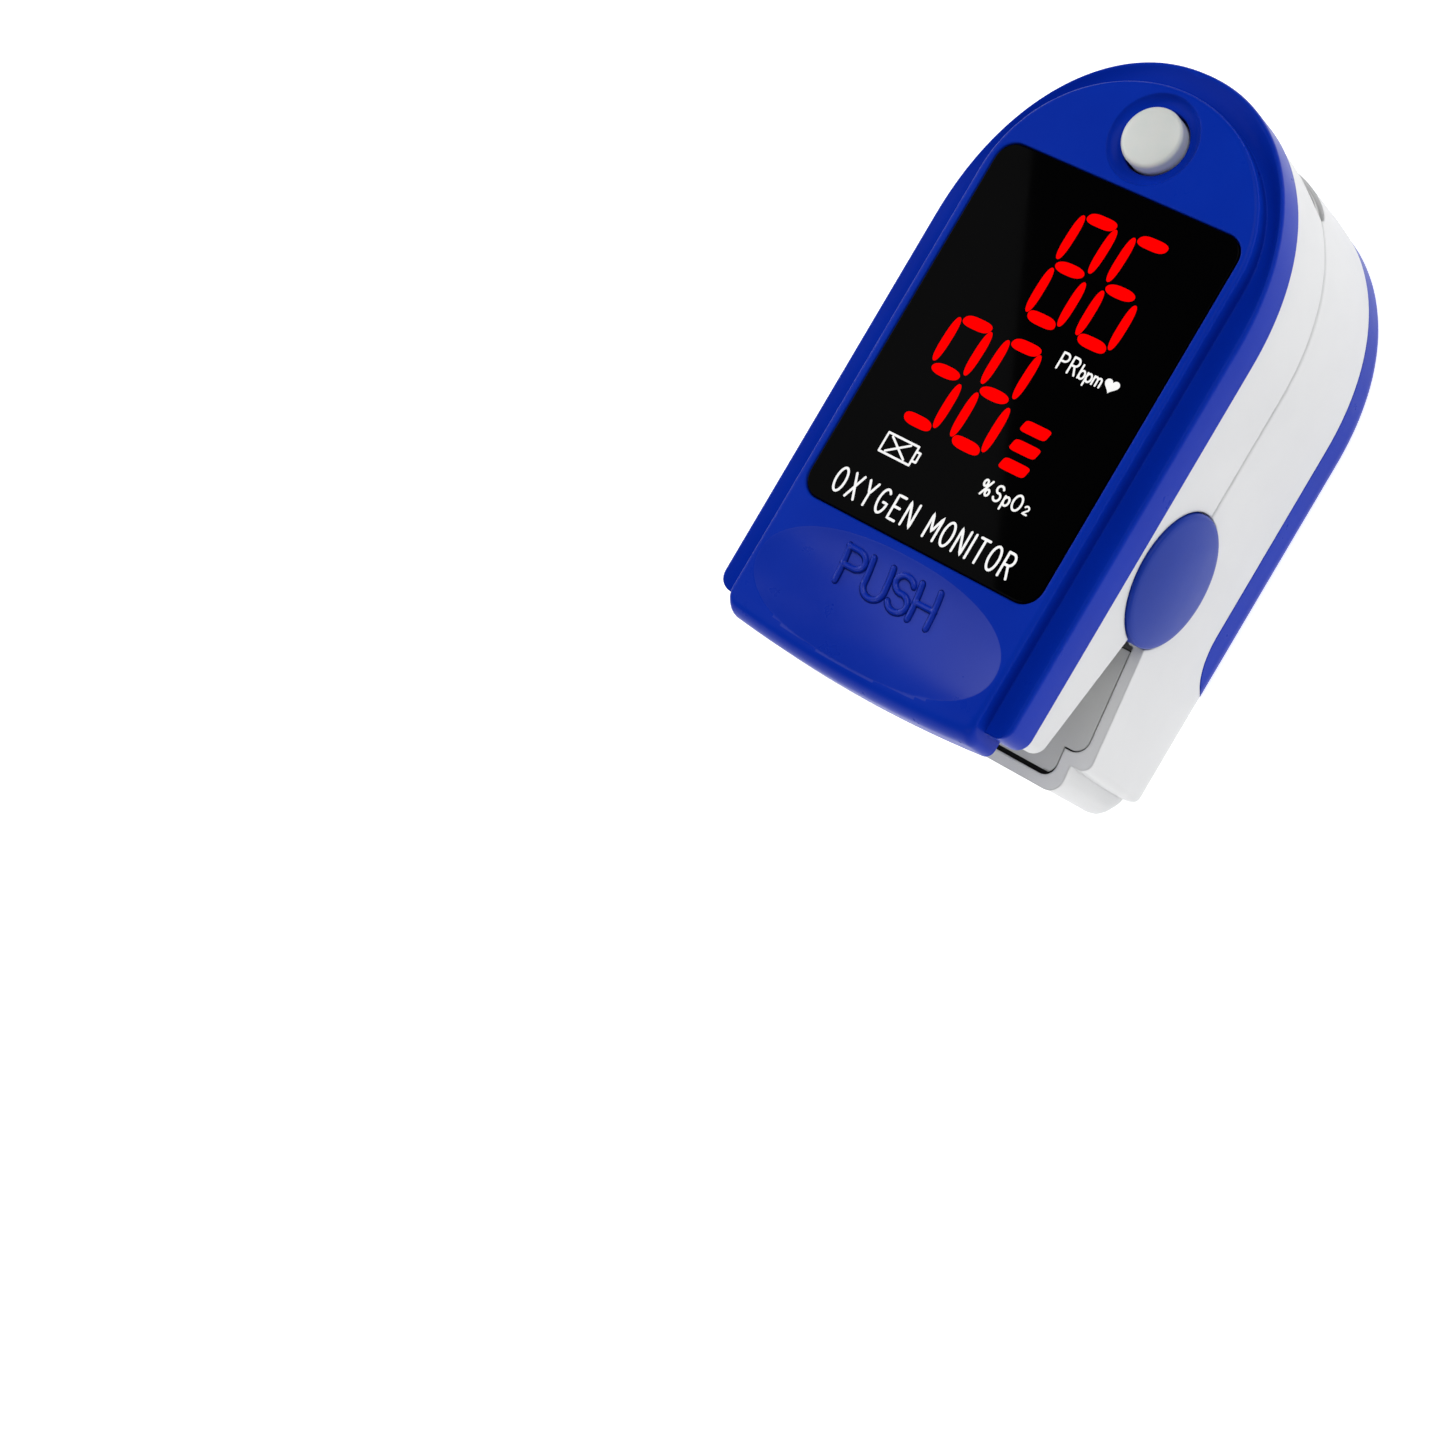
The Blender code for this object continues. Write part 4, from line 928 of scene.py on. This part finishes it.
def makeUpperShell():
    top, low = shellTop, partingZ + shell["partingGap"]
    tail = outline["upperTail"]
    r = shell["partingRound"]
    obj = meshObject("upperShell", levels(
        (shellOutline(r, tail), low), (shellOutline(r * 0.6, tail), low + r * 0.1),
        (shellOutline(r * 0.26, tail), low + r * 0.38), (shellOutline(0.0, tail), low + r),
        (shellOutline(0.0, tail), top)))
    far = outline["lowerTail"] - 3
    cut(obj, prism(shellOutline(outline["wall"], tail), low - 1, top + 1),
        notchCutter(notch["upper"], notch["start"], far, low - 2),
        archRoom(True, 18))
    for side in (1, -1):
        cut(obj, rodX(capRadius + shell["capGap"],
                      *sorted((side * shell["upperCapX"], side * shell["farX"]))))
        ear = earTab(ears["radius"], top - 0.1, sorted(side * x for x in ears["upperX"]))
        ribLow, ribHigh = sorted(side * x for x in shell["ribX"])
        rib = box((ribLow, axisY - 6, axisZ + capRadius + 0.35), (ribHigh, axisY + 6, top - 0.2))
        join(obj, rib, ear)
        for x, y in outline["coverScrews"]:
            join(obj, rodZ(1.7, 21.0, top - 0.05, (side * x, y)))
            cut(obj, rodZ(outline["screwBore"], 20, top + 1, (side * x, y)))
    cut(obj, rodX(shell["axleBore"], -13, 13, 40))
    dress(obj, finishes["whitePlastic"])
    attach(obj, "upper_jaw")
    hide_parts("upper_shell")


tailLip = {"half": 13.8, "root": -24.4, "corner": 1.5, "tongueHalf": 12.5, "tongueTail": -27.4,
           "tongueLow": 10.9, "tongueCorner": 1.3, "seam": 0.15,
           "profile": ((0.55, -26.3), (0.65, -26.7), (0.85, -27.1), (1.1, -27.4), (1.5, -27.75),
                       (2.0, -27.98), (2.6, -28.08), (11.2, -28.47), (11.8, -28.57), (12.4, -28.6),
                       (12.75, -28.48), (12.95, -28.2))}


def tongueOutline(grow):
    half = tailLip["tongueHalf"] + grow
    tail = tailLip["tongueTail"] - grow
    front = tailLip["root"] + 0.9
    return roundRectangle(half, (front - tail) / 2, tailLip["tongueCorner"], (0, (front + tail) / 2))


def makeLowerShell():
    top = partingZ - shell["partingGap"]
    r = shell["partingRound"]
    obj = meshObject("lowerShell", levels(
        *footLevels(), (shellOutline(0.08), 4.4), (shellOutline(), 7.0),
        (shellOutline(), top - r), (shellOutline(r * 0.26), top - r * 0.38),
        (shellOutline(r * 0.6), top - r * 0.1), (shellOutline(r), top)))
    lip = []
    root = tailLip["root"]
    for z, tail in tailLip["profile"]:
        corner = min(tailLip["corner"], (root - tail) / 2 - 0.01)
        lip.append((roundRectangle(tailLip["half"], (root - tail) / 2, corner, (0, (root + tail) / 2)), z))
    join(obj, levels(*lip))
    far = outline["lowerTail"] - 5
    bayTop = shell["bayTop"]
    cut(obj, sidePrism(stripFront(coverStrip["gap"]), 20),
        prism(shellOutline(outline["wall"]), bayTop, top + 1),
        box(shell["bayLow"], (*shell["bayHigh"], bayTop + 1)),
        prism(tailEnd(outline["rimWall"], notch["start"] - 0.1), bayTop + 0.05, top + 1),
        prism(tongueOutline(tailLip["seam"]), tailLip["tongueLow"] - 0.3, partingZ),
        notchCutter(notch["lower"], notch["start"], far, top + 2),
        archRoom(False, 18))
    for side in (1, -1):
        cut(obj, rodX(capRadius + shell["capGap"],
                      *sorted((side * shell["lowerCapX"], side * shell["farX"]))))
        join(obj, earTab(ears["radius"] + 0.1, 9.7, sorted(side * x for x in ears["lowerX"])))
        cut(obj, rodX(ears["radius"] + 0.4, *sorted((side * 11.1, side * 12.9))))
        for x, y in outline["linerScrews"]:
            cut(obj, rodZ(0.85, 7.2, 12.5, (side * x, y)))
    cut(obj, rodX(shell["axleBore"], -13.9, 13.9, 40))
    dress(obj, finishes["whitePlastic"])
    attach(obj, "lower_jaw")
    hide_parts("lower_shell")


# grey liners seen in the squeeze notch and round the finger
hingeRoom = {"low": 9, "high": 26, "coilRadius": 3.5, "coilX": 11.3, "cable": ((-2.1, -14.4), (2.1, -10.6)),
             "earX": (11.0, 18), "earY": 6.6, "legHalf": 0.9, "legTail": -18.5, "legRise": 3.1}


def hingeRooms(legX):
    # clearance for the axle's coils, the flat cable, the ears and the spring legs
    low, high = hingeRoom["low"], hingeRoom["high"]
    cableLow, cableHigh = hingeRoom["cable"]
    rooms = [rodX(hingeRoom["coilRadius"], -hingeRoom["coilX"], hingeRoom["coilX"], 64),
             box((*cableLow, low), (*cableHigh, high))]
    reach, half, rise = hingeRoom["earY"], hingeRoom["legHalf"], hingeRoom["legRise"]
    for side in (1, -1):
        xLow, xHigh = sorted(side * x for x in hingeRoom["earX"])
        rooms.append(box((xLow, axisY - reach, low), (xHigh, axisY + reach, high)))
        rooms.append(box((side * legX - half, hingeRoom["legTail"], axisZ - rise),
                         (side * legX + half, axisY, axisZ + rise)))
    return rooms


liner = {"floor": 11.9, "partingGap": 0.7, "seamShadeDrop": 0.3, "seam": 0.15, "springLegs": (5.6, 9.5)}


def makeUpperLiner():
    low, high = partingZ + liner["partingGap"], linerTop
    tail = outline["upperTail"]
    far = outline["lowerTail"] - 3
    start = notch["linerStart"]
    obj = meshObject("upperLiner", prism(shellOutline(outline["wall"] + liner["seam"], tail), low, high))
    cut(obj, notchCutter(notch["upper"], start, far, low - 2, 0.3),
        archRoom(True, upperPadLow.y - tunnel["gap"]),
        prism(roundRectangle(3.0, 3.0, 0.5, (0, sensorY)), 19, 24), *hingeRooms(liner["springLegs"][1]))
    for x, y in outline["coverScrews"]:
        for side in (1, -1):
            cut(obj, rodZ(2.05, 19.6, 24, (side * x, y)))
    dress(obj, finishes["greyPlastic"])
    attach(obj, "upper_jaw")
    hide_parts("upper_liner")


def makeLowerLiner():
    low, high = liner["floor"], partingZ - liner["partingGap"]
    far = outline["lowerTail"] - 3
    start = notch["linerStart"]
    obj = meshObject("lowerLiner", prism(shellOutline(outline["wall"] + liner["seam"]), low, high))
    join(obj, prism(tailEnd(outline["rimWall"] + liner["seam"], notch["start"] - 0.6),
                    low + 0.15, high - 0.1))
    join(obj, prism(tongueOutline(0.0), low + 0.1, 14.5))
    tongueFloor = box((-tailLip["tongueHalf"] + 1.0, tailLip["tongueTail"] + 0.3, tailLip["tongueLow"]),
                      (tailLip["tongueHalf"] - 1.0, -24.6, low + 0.5))
    join(obj, tongueFloor)
    cut(obj, notchCutter(notch["lower"], start, far, high + 2, -0.12),
        archRoom(False, lowerPadLow.y - tunnel["gap"]),
        prism(roundRectangle(3.0, 3.0, 0.5, (0, sensorY)), 10, 15), *hingeRooms(liner["springLegs"][0]))
    for x, y in outline["linerScrews"]:
        for side in (1, -1):
            cut(obj, rodZ(1.45, 13.3, 18, (side * x, y)), rodZ(0.85, 10, 14, (side * x, y)))
    dress(obj, finishes["greyPlastic"])
    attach(obj, "lower_jaw")
    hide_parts("lower_liner")


def makeSeamShade():
    # a black strip lying low in the seam round the lower liner, painting the shade in the gap
    gap = liner["seam"] - 0.02
    obj = meshObject("seamShadeStrip", prism(tailEnd(outline["rimWall"] + 0.02, notch["start"] - 0.5),
                                        12.3, 15.9))
    join(obj, prism(tongueOutline(gap), 11.6, 14.5))
    far = outline["lowerTail"] - 3
    start = notch["start"] + 1
    cut(obj, notchCutter(notch["lower"], start, far, 18, -liner["seamShadeDrop"]),
        prism(tailEnd(outline["rimWall"] + 2.2, 5.0), 11, 17))
    dress(obj, finishes["seamShadeBlack"])
    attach(obj, "lower_jaw")


# battery cover
gripMarks = {"count": 7, "pitch": 1.5, "first": 12.5, "halfWidth": 5.0, "radius": 0.35}


def makeBatteryCover():
    high = batteryCoverTop
    obj = meshObject("batteryCover", levels(*footLevels(), (shellOutline(0.1), high)))
    keep(obj, sidePrism(stripFront(0.0), 20))
    cut(obj, prism(shellOutline(1.3), 0.9, high + 2))
    for i in range(gripMarks["count"]):
        y = gripMarks["first"] + i * gripMarks["pitch"]
        wide = gripMarks["halfWidth"]
        bar = tube(bmesh.new(), [(-wide, y, -0.05), (-wide / 2, y, -0.05), (0, y, -0.05),
                                 (wide / 2, y, -0.05), (wide, y, -0.05)], gripMarks["radius"], 24)
        cut(obj, bar)
    arrow = [(-2.2, 8.2), (0, 10.6), (2.2, 8.2), (0.8, 8.2), (0.8, 5.6), (-0.8, 5.6), (-0.8, 8.2)]
    cut(obj, prism(arrow, -0.5, 0.25))
    dress(obj, finishes["bluePlastic"])
    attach(obj, "battery_cover")
    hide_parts("battery_cover")


# hinge caps, springs and the flat cable
cap = {"rim": 0.35, "domeSteps": 14}


def makePivotCaps():
    face, back = capHigh.x, capLow.x
    radius = capRadius
    rimX = face - 0.85
    profile = [(0, back), (radius - 0.2, back), (radius, back + 0.2), (radius, rimX)]
    profile += fillet((radius - cap["rim"], rimX), cap["rim"], 12, 66, 6)
    lastR, lastX = profile[-1]
    for i in range(1, cap["domeSteps"]):
        share = i / cap["domeSteps"]
        profile.append((lastR * (1 - share), lastX + (face - lastX) * (1 - (1 - share) ** 2)))
    profile.append((0, face))
    for name, side in (("left", -1), ("right", 1)):
        bm = alongX(lathe(profile, 128))
        bmesh.ops.scale(bm, vec=(side, 1, 1), verts=bm.verts)
        bmesh.ops.translate(bm, vec=(0, axisY, axisZ), verts=bm.verts)
        obj = dress(meshObject(f"pivotCap{name.title()}", bm), finishes["capBlue"], 40.0)
        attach(obj, "lower_jaw")
        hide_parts(f"pivot_cap_{name}")


spring = {"coilRadius": 2.2, "wireRadius": 0.35, "turns": 4.5, "leg": 7.4, "xRange": (5.6, 9.5)}


def makeSprings():
    for name, side in (("left", -1), ("right", 1)):
        first, last = (side * x for x in spring["xRange"])
        r = spring["coilRadius"]
        steps = 160
        path = [(first, axisY - spring["leg"] * (1 - i / 6), axisZ - r) for i in range(6)]
        for i in range(steps + 1):
            angle = -pi / 2 + 2 * pi * spring["turns"] * i / steps
            path.append((first + (last - first) * i / steps,
                         axisY + r * cos(angle), axisZ + r * sin(angle)))
        path += [(last, axisY - spring["leg"] * i / 6, axisZ + r) for i in range(1, 7)]
        bm = bmesh.new()
        tube(bm, path, spring["wireRadius"], 10)
        obj = dress(meshObject(f"torsionSpring{name.title()}", bm), finishes["steel"], 60.0, False)
        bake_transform(obj)
        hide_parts(f"torsion_spring_{name}")


ribbon = {"half": 1.4, "thick": 0.1, "steps": 60,
          "path": ((8.0, 11.6), (-2.0, 11.55), (-9.5, 11.5), (-12.0, 12.3), (-12.9, 14.5), (-13.1, 17.3),
                   (-12.9, 19.8), (-12.3, 21.8), (-12.2, 23.0))}


def smoothPath(points, count):
    # Points evenly read along a curve through the given ones.
    made = []
    last = len(points) - 1
    for i in range(count + 1):
        t = i / count * last
        k = min(int(t), last - 1)
        u = t - k
        a, b = points[max(k - 1, 0)], points[k]
        c, d = points[k + 1], points[min(k + 2, last)]
        made.append(tuple(0.5 * (2 * q + (r - p) * u + (2 * p - 5 * q + 4 * r - s) * u * u
                                 + (3 * q - p - 3 * r + s) * u ** 3)
                          for p, q, r, s in zip(a, b, c, d)))
    return made


def makeRibbon():
    path = smoothPath(ribbon["path"], ribbon["steps"])
    half, thick = ribbon["half"], ribbon["thick"]
    rings = []
    for i, (y, z) in enumerate(path):
        before, after = path[max(i - 1, 0)], path[min(i + 1, len(path) - 1)]
        dy, dz = after[0] - before[0], after[1] - before[1]
        long = sqrt(dy * dy + dz * dz)
        ny, nz = -dz / long * thick, dy / long * thick
        ring = []
        for k in range(9):
            x = half * (1 - 2 * k / 8)
            ring.append((x, y + ny, z + nz))
        for k in range(9):
            x = -half * (1 - 2 * k / 8)
            ring.append((x, y - ny, z - nz))
        rings.append(ring)
    obj = dress(meshObject("ribbonCable", loft(rings)), finishes["flexAmber"], 40.0, False)
    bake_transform(obj)
    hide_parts("ribbon_cable")


# silicone finger pads
pads = {"lipInset": 2.2, "ribs": 6, "ribPitch": 4.2, "ribFirst": 1.0, "ribRadius": 0.26, "bead": 0.26,
        "fill": 0.9, "sensorHalf": 2.9, "tailWall": 1.4}


def makePad(name, upper):
    way = 1 if upper else -1
    low, high = (upperPadLow, upperPadHigh) if upper else (lowerPadLow, lowerPadHigh)
    depth = tunnel["up"] if upper else tunnel["down"]
    outer = depth + tunnel["pad"]
    half = tunnel["half"]
    face = partingZ + way * 0.25
    far = partingZ + way * 9
    tailY = low.y
    obj = meshObject(name, tunnelBar(half + tunnel["edge"], outer, outer, tailY, 34))
    keep(obj, box((-20, -20, min(face, far)), (20, 40, max(face, far))), prism(shellOutline(0.35), 8, 26))
    lipLow, lipHigh = sorted((face, partingZ + way * 0.6))
    lip = [(x, max(y, tailY + 3.2)) for x, y in shellOutline(pads["lipInset"])]
    join(obj, prism([p for i, p in enumerate(lip) if p != lip[i - 1]], lipLow, lipHigh))
    cut(obj, tunnelBar(half, tunnel["down"], tunnel["up"], tailY + pads["tailWall"], 34),
        prism(roundRectangle(pads["sensorHalf"], pads["sensorHalf"], 0.6, (0, sensorY)), 12, 23))
    bm = bmesh.new()
    bm.from_mesh(obj.data)
    bmesh.ops.scale(bm, vec=(1 / mm, 1 / mm, 1 / mm), verts=bm.verts)
    for i in range(pads["ribs"]):
        y = pads["ribFirst"] + i * pads["ribPitch"]
        if abs(y - sensorY) < pads["sensorHalf"] + 0.6:
            continue
        for side in (1, -1):
            path = []
            for k in range(17):
                angle = radians(18 + 54 * k / 16)
                path.append((side * half * cos(angle), y, partingZ + way * depth * sin(angle)))
            tube(bm, path, pads["ribRadius"], 10)
    rim = []
    for k in range(25):
        share = k / 24
        rim.append((half, tailY + 2.4 + (high.y - 5.5 - tailY) * share, partingZ + way * 0.52))
    for side in (1, -1):
        tube(bm, [(side * x, y, z) for x, y, z in rim], pads["bead"], 10)
    obj.data.clear_geometry()
    bmesh.ops.scale(bm, vec=(mm, mm, mm), verts=bm.verts)
    bm.to_mesh(obj.data)
    bm.free()
    dress(obj, finishes["silicone"], 50.0)
    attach(obj, "upper_jaw" if upper else "lower_jaw")
    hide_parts("upper_finger_pad" if upper else "lower_finger_pad")


makeTopCover()
makePushLabel()
print("top cover made")
makeWindow()
makeDigits()
makeLegends()
makeButton()
print("display made")
makeUpperShell()
makeLowerShell()
print("shells made")
makeUpperLiner()
makeLowerLiner()
makeSeamShade()
makeBatteryCover()
print("liners and battery cover made")
makePivotCaps()
makeSprings()
makeRibbon()
makePad("upperFingerPad", True)
makePad("lowerFingerPad", False)
print("hinge and pads made")


# finishes of the fittings that the frame carries
carried = {
    "steel": ("hinge_axle", "upper_screw_1", "upper_screw_2", "upper_screw_3", "upper_screw_4",
              "lower_screw_1", "lower_screw_2", "lower_screw_3", "lower_screw_4"),
    "nickel": ("battery_link_plate", "battery_terminal_left", "battery_terminal_right",
               "contact_spring_left", "contact_spring_right", "power_switch"),
    "cellWrap": ("battery_left", "battery_right"),
    "boardGreen": ("main_board", "emitter_board"),
    "chipBlack": ("controller_chip", "amplifier_chip", "switch_plunger", "photodiode"),
    "displayBlack": ("digit_module",),
    "clearLens": ("lower_sensor_lens", "upper_sensor_lens", "emitter_led"),
}
for finishName, nodeNames in carried.items():
    for nodeName in nodeNames:
        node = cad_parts[nodeName]
        if not node.material_slots:
            node.data.materials.append(finishes[finishName])
        for materialSlot in node.material_slots:
            materialSlot.material = finishes[finishName]
print("fittings finished")


# floor, light and camera
studio = {
    "floorHalf": 3.0, "floorColour": (0.86, 0.86, 0.86), "floorGlow": 0.72,
    "floorDrop": 0.05,      # keeps the floor clear of the flat underside
    "world": 0.10,
}


keyLight = ((-9.75, 17.25), (8.75, -17.25),     # line on the window where its edge is mirrored
            (-330, -80, 330), (0, 0, 20), (520, 330), 0.62)
softLights = (     # name, position, target, size and power
    ("topSoftbox", (160, 260, 420), (0, 0, 15), (420, 420), 1.25),
    ("sideFill", (420, -120, 160), (0, 0, 12), (360, 300), 0.16),
    ("tailFill", (40, -420, 230), (0, -10, 14), (300, 200), 0.4),
    ("lowKey", (-420, 30, 210), (0, -15, 30), (240, 120), 0.35),
)


def makeFloor():
    # a wide flat sheet just under the foot
    bm = bmesh.new()
    half = studio["floorHalf"] / mm
    for sx in (-1, 1):
        for sy in (-1, 1):
            bm.verts.new((sx * half, sy * half, -studio["floorDrop"]))
    bm.verts.ensure_lookup_table()
    bm.faces.new((bm.verts[0], bm.verts[1], bm.verts[3], bm.verts[2]))
    obj = meshObject("floor", bm)
    made = makeFinish("paleFloor", {"colour": studio["floorColour"], "shade": studio["floorColour"],
                                    "roughness": 0.9, "specular": 0.0, "cloud": 400.0, "grain": 2.0,
                                    "grainStrength": 0.0})
    shader = made.node_tree.nodes["Principled BSDF"]
    shader.inputs["Emission Color"].default_value = (1, 1, 1, 1)
    shader.inputs["Emission Strength"].default_value = studio["floorGlow"]
    dress(obj, made, weighted=False)


def areaLight(name, position, target, size, power, axis=None):
    # A soft rectangular light at position facing target. axis, where given, is its long edge.
    data = bpy.data.lights.new(name, "AREA")
    data.shape = "RECTANGLE"
    data.size, data.size_y = (s * mm for s in size)
    data.energy = power
    obj = linkObject(name, data)
    back = (Vector(position) - Vector(target)).normalized()
    if axis is None:
        axis = Vector((0, 0, 1)).cross(back)
    across = (axis - back * axis.dot(back)).normalized()
    up = back.cross(across)
    turn = Matrix((across, up, back)).transposed().to_4x4()
    obj.matrix_world = Matrix.Translation(Vector(position) * mm) @ turn
    return obj


cameraSetup = {
    "azimuth": 89.04, "elevation": 57.58, "roll": -58.66, "lens": 88.54,
    "offset": (31.11, 25.23, 306.0),   # where the body's middle lies in the camera's right, up and depth
}


def makeCamera():
    azimuth, elevation, roll = (radians(cameraSetup[k]) for k in ("azimuth", "elevation", "roll"))
    back = Vector((sin(azimuth) * cos(elevation), -cos(azimuth) * cos(elevation), sin(elevation)))
    levelRight = Vector((0, 0, 1)).cross(back).normalized()
    levelUp = back.cross(levelRight)
    right = levelRight * cos(roll) + levelUp * sin(roll)
    up = levelUp * cos(roll) - levelRight * sin(roll)
    centre = Vector((0, 0, coverHigh.z / 2 + 0.45))
    sideways, upwards, depth = cameraSetup["offset"]
    position = centre + back * depth - right * sideways - up * upwards
    data = bpy.data.cameras.new("camera")
    data.lens = cameraSetup["lens"]
    data.sensor_width = 36
    data.clip_start = 0.01
    data.clip_end = 50
    obj = linkObject("camera", data)
    obj.matrix_world = Matrix.Translation(position * mm) @ Matrix((right, up, back)).transposed().to_4x4()
    bpy.context.scene.camera = obj
    return position


def edgeOnGlass(name, cameraPoint, first, second, lightCentre, target, size, power):
    # A softbox whose near edge is mirrored in the window along the line first to second.
    mirrored = Vector((cameraPoint.x, cameraPoint.y, 2 * coverTop - cameraPoint.z))
    normal = (Vector(target) - Vector(lightCentre)).normalized()
    hits = []
    for x, y in (first, second):
        ray = Vector((x, y, coverTop)) - mirrored
        hits.append(mirrored + ray * ((Vector(lightCentre) - mirrored).dot(normal) / ray.dot(normal)))
    along = (hits[1] - hits[0]).normalized()
    away = along.cross(normal)
    if away.dot(Vector(lightCentre) - hits[0]) < 0:
        away = -away
    middle = hits[0] + along * ((Vector(lightCentre) - hits[0]).dot(along)) + away * (size[1] / 2)
    return areaLight(name, middle, middle + normal, size, power, along)


def makeLight(cameraPoint):
    world = bpy.data.worlds.new("studio")
    world.use_nodes = True
    world.node_tree.nodes["Background"].inputs["Color"].default_value = (1, 1, 1, 1)
    world.node_tree.nodes["Background"].inputs["Strength"].default_value = studio["world"]
    bpy.context.scene.world = world
    edgeOnGlass("keySoftbox", cameraPoint, *keyLight)
    for name, position, target, size, power in softLights:
        areaLight(name, position, target, size, power)


makeFloor()
cameraPoint = makeCamera()
makeLight(cameraPoint)
bpy.context.scene.view_settings.view_transform = "Standard"
print("studio ready")
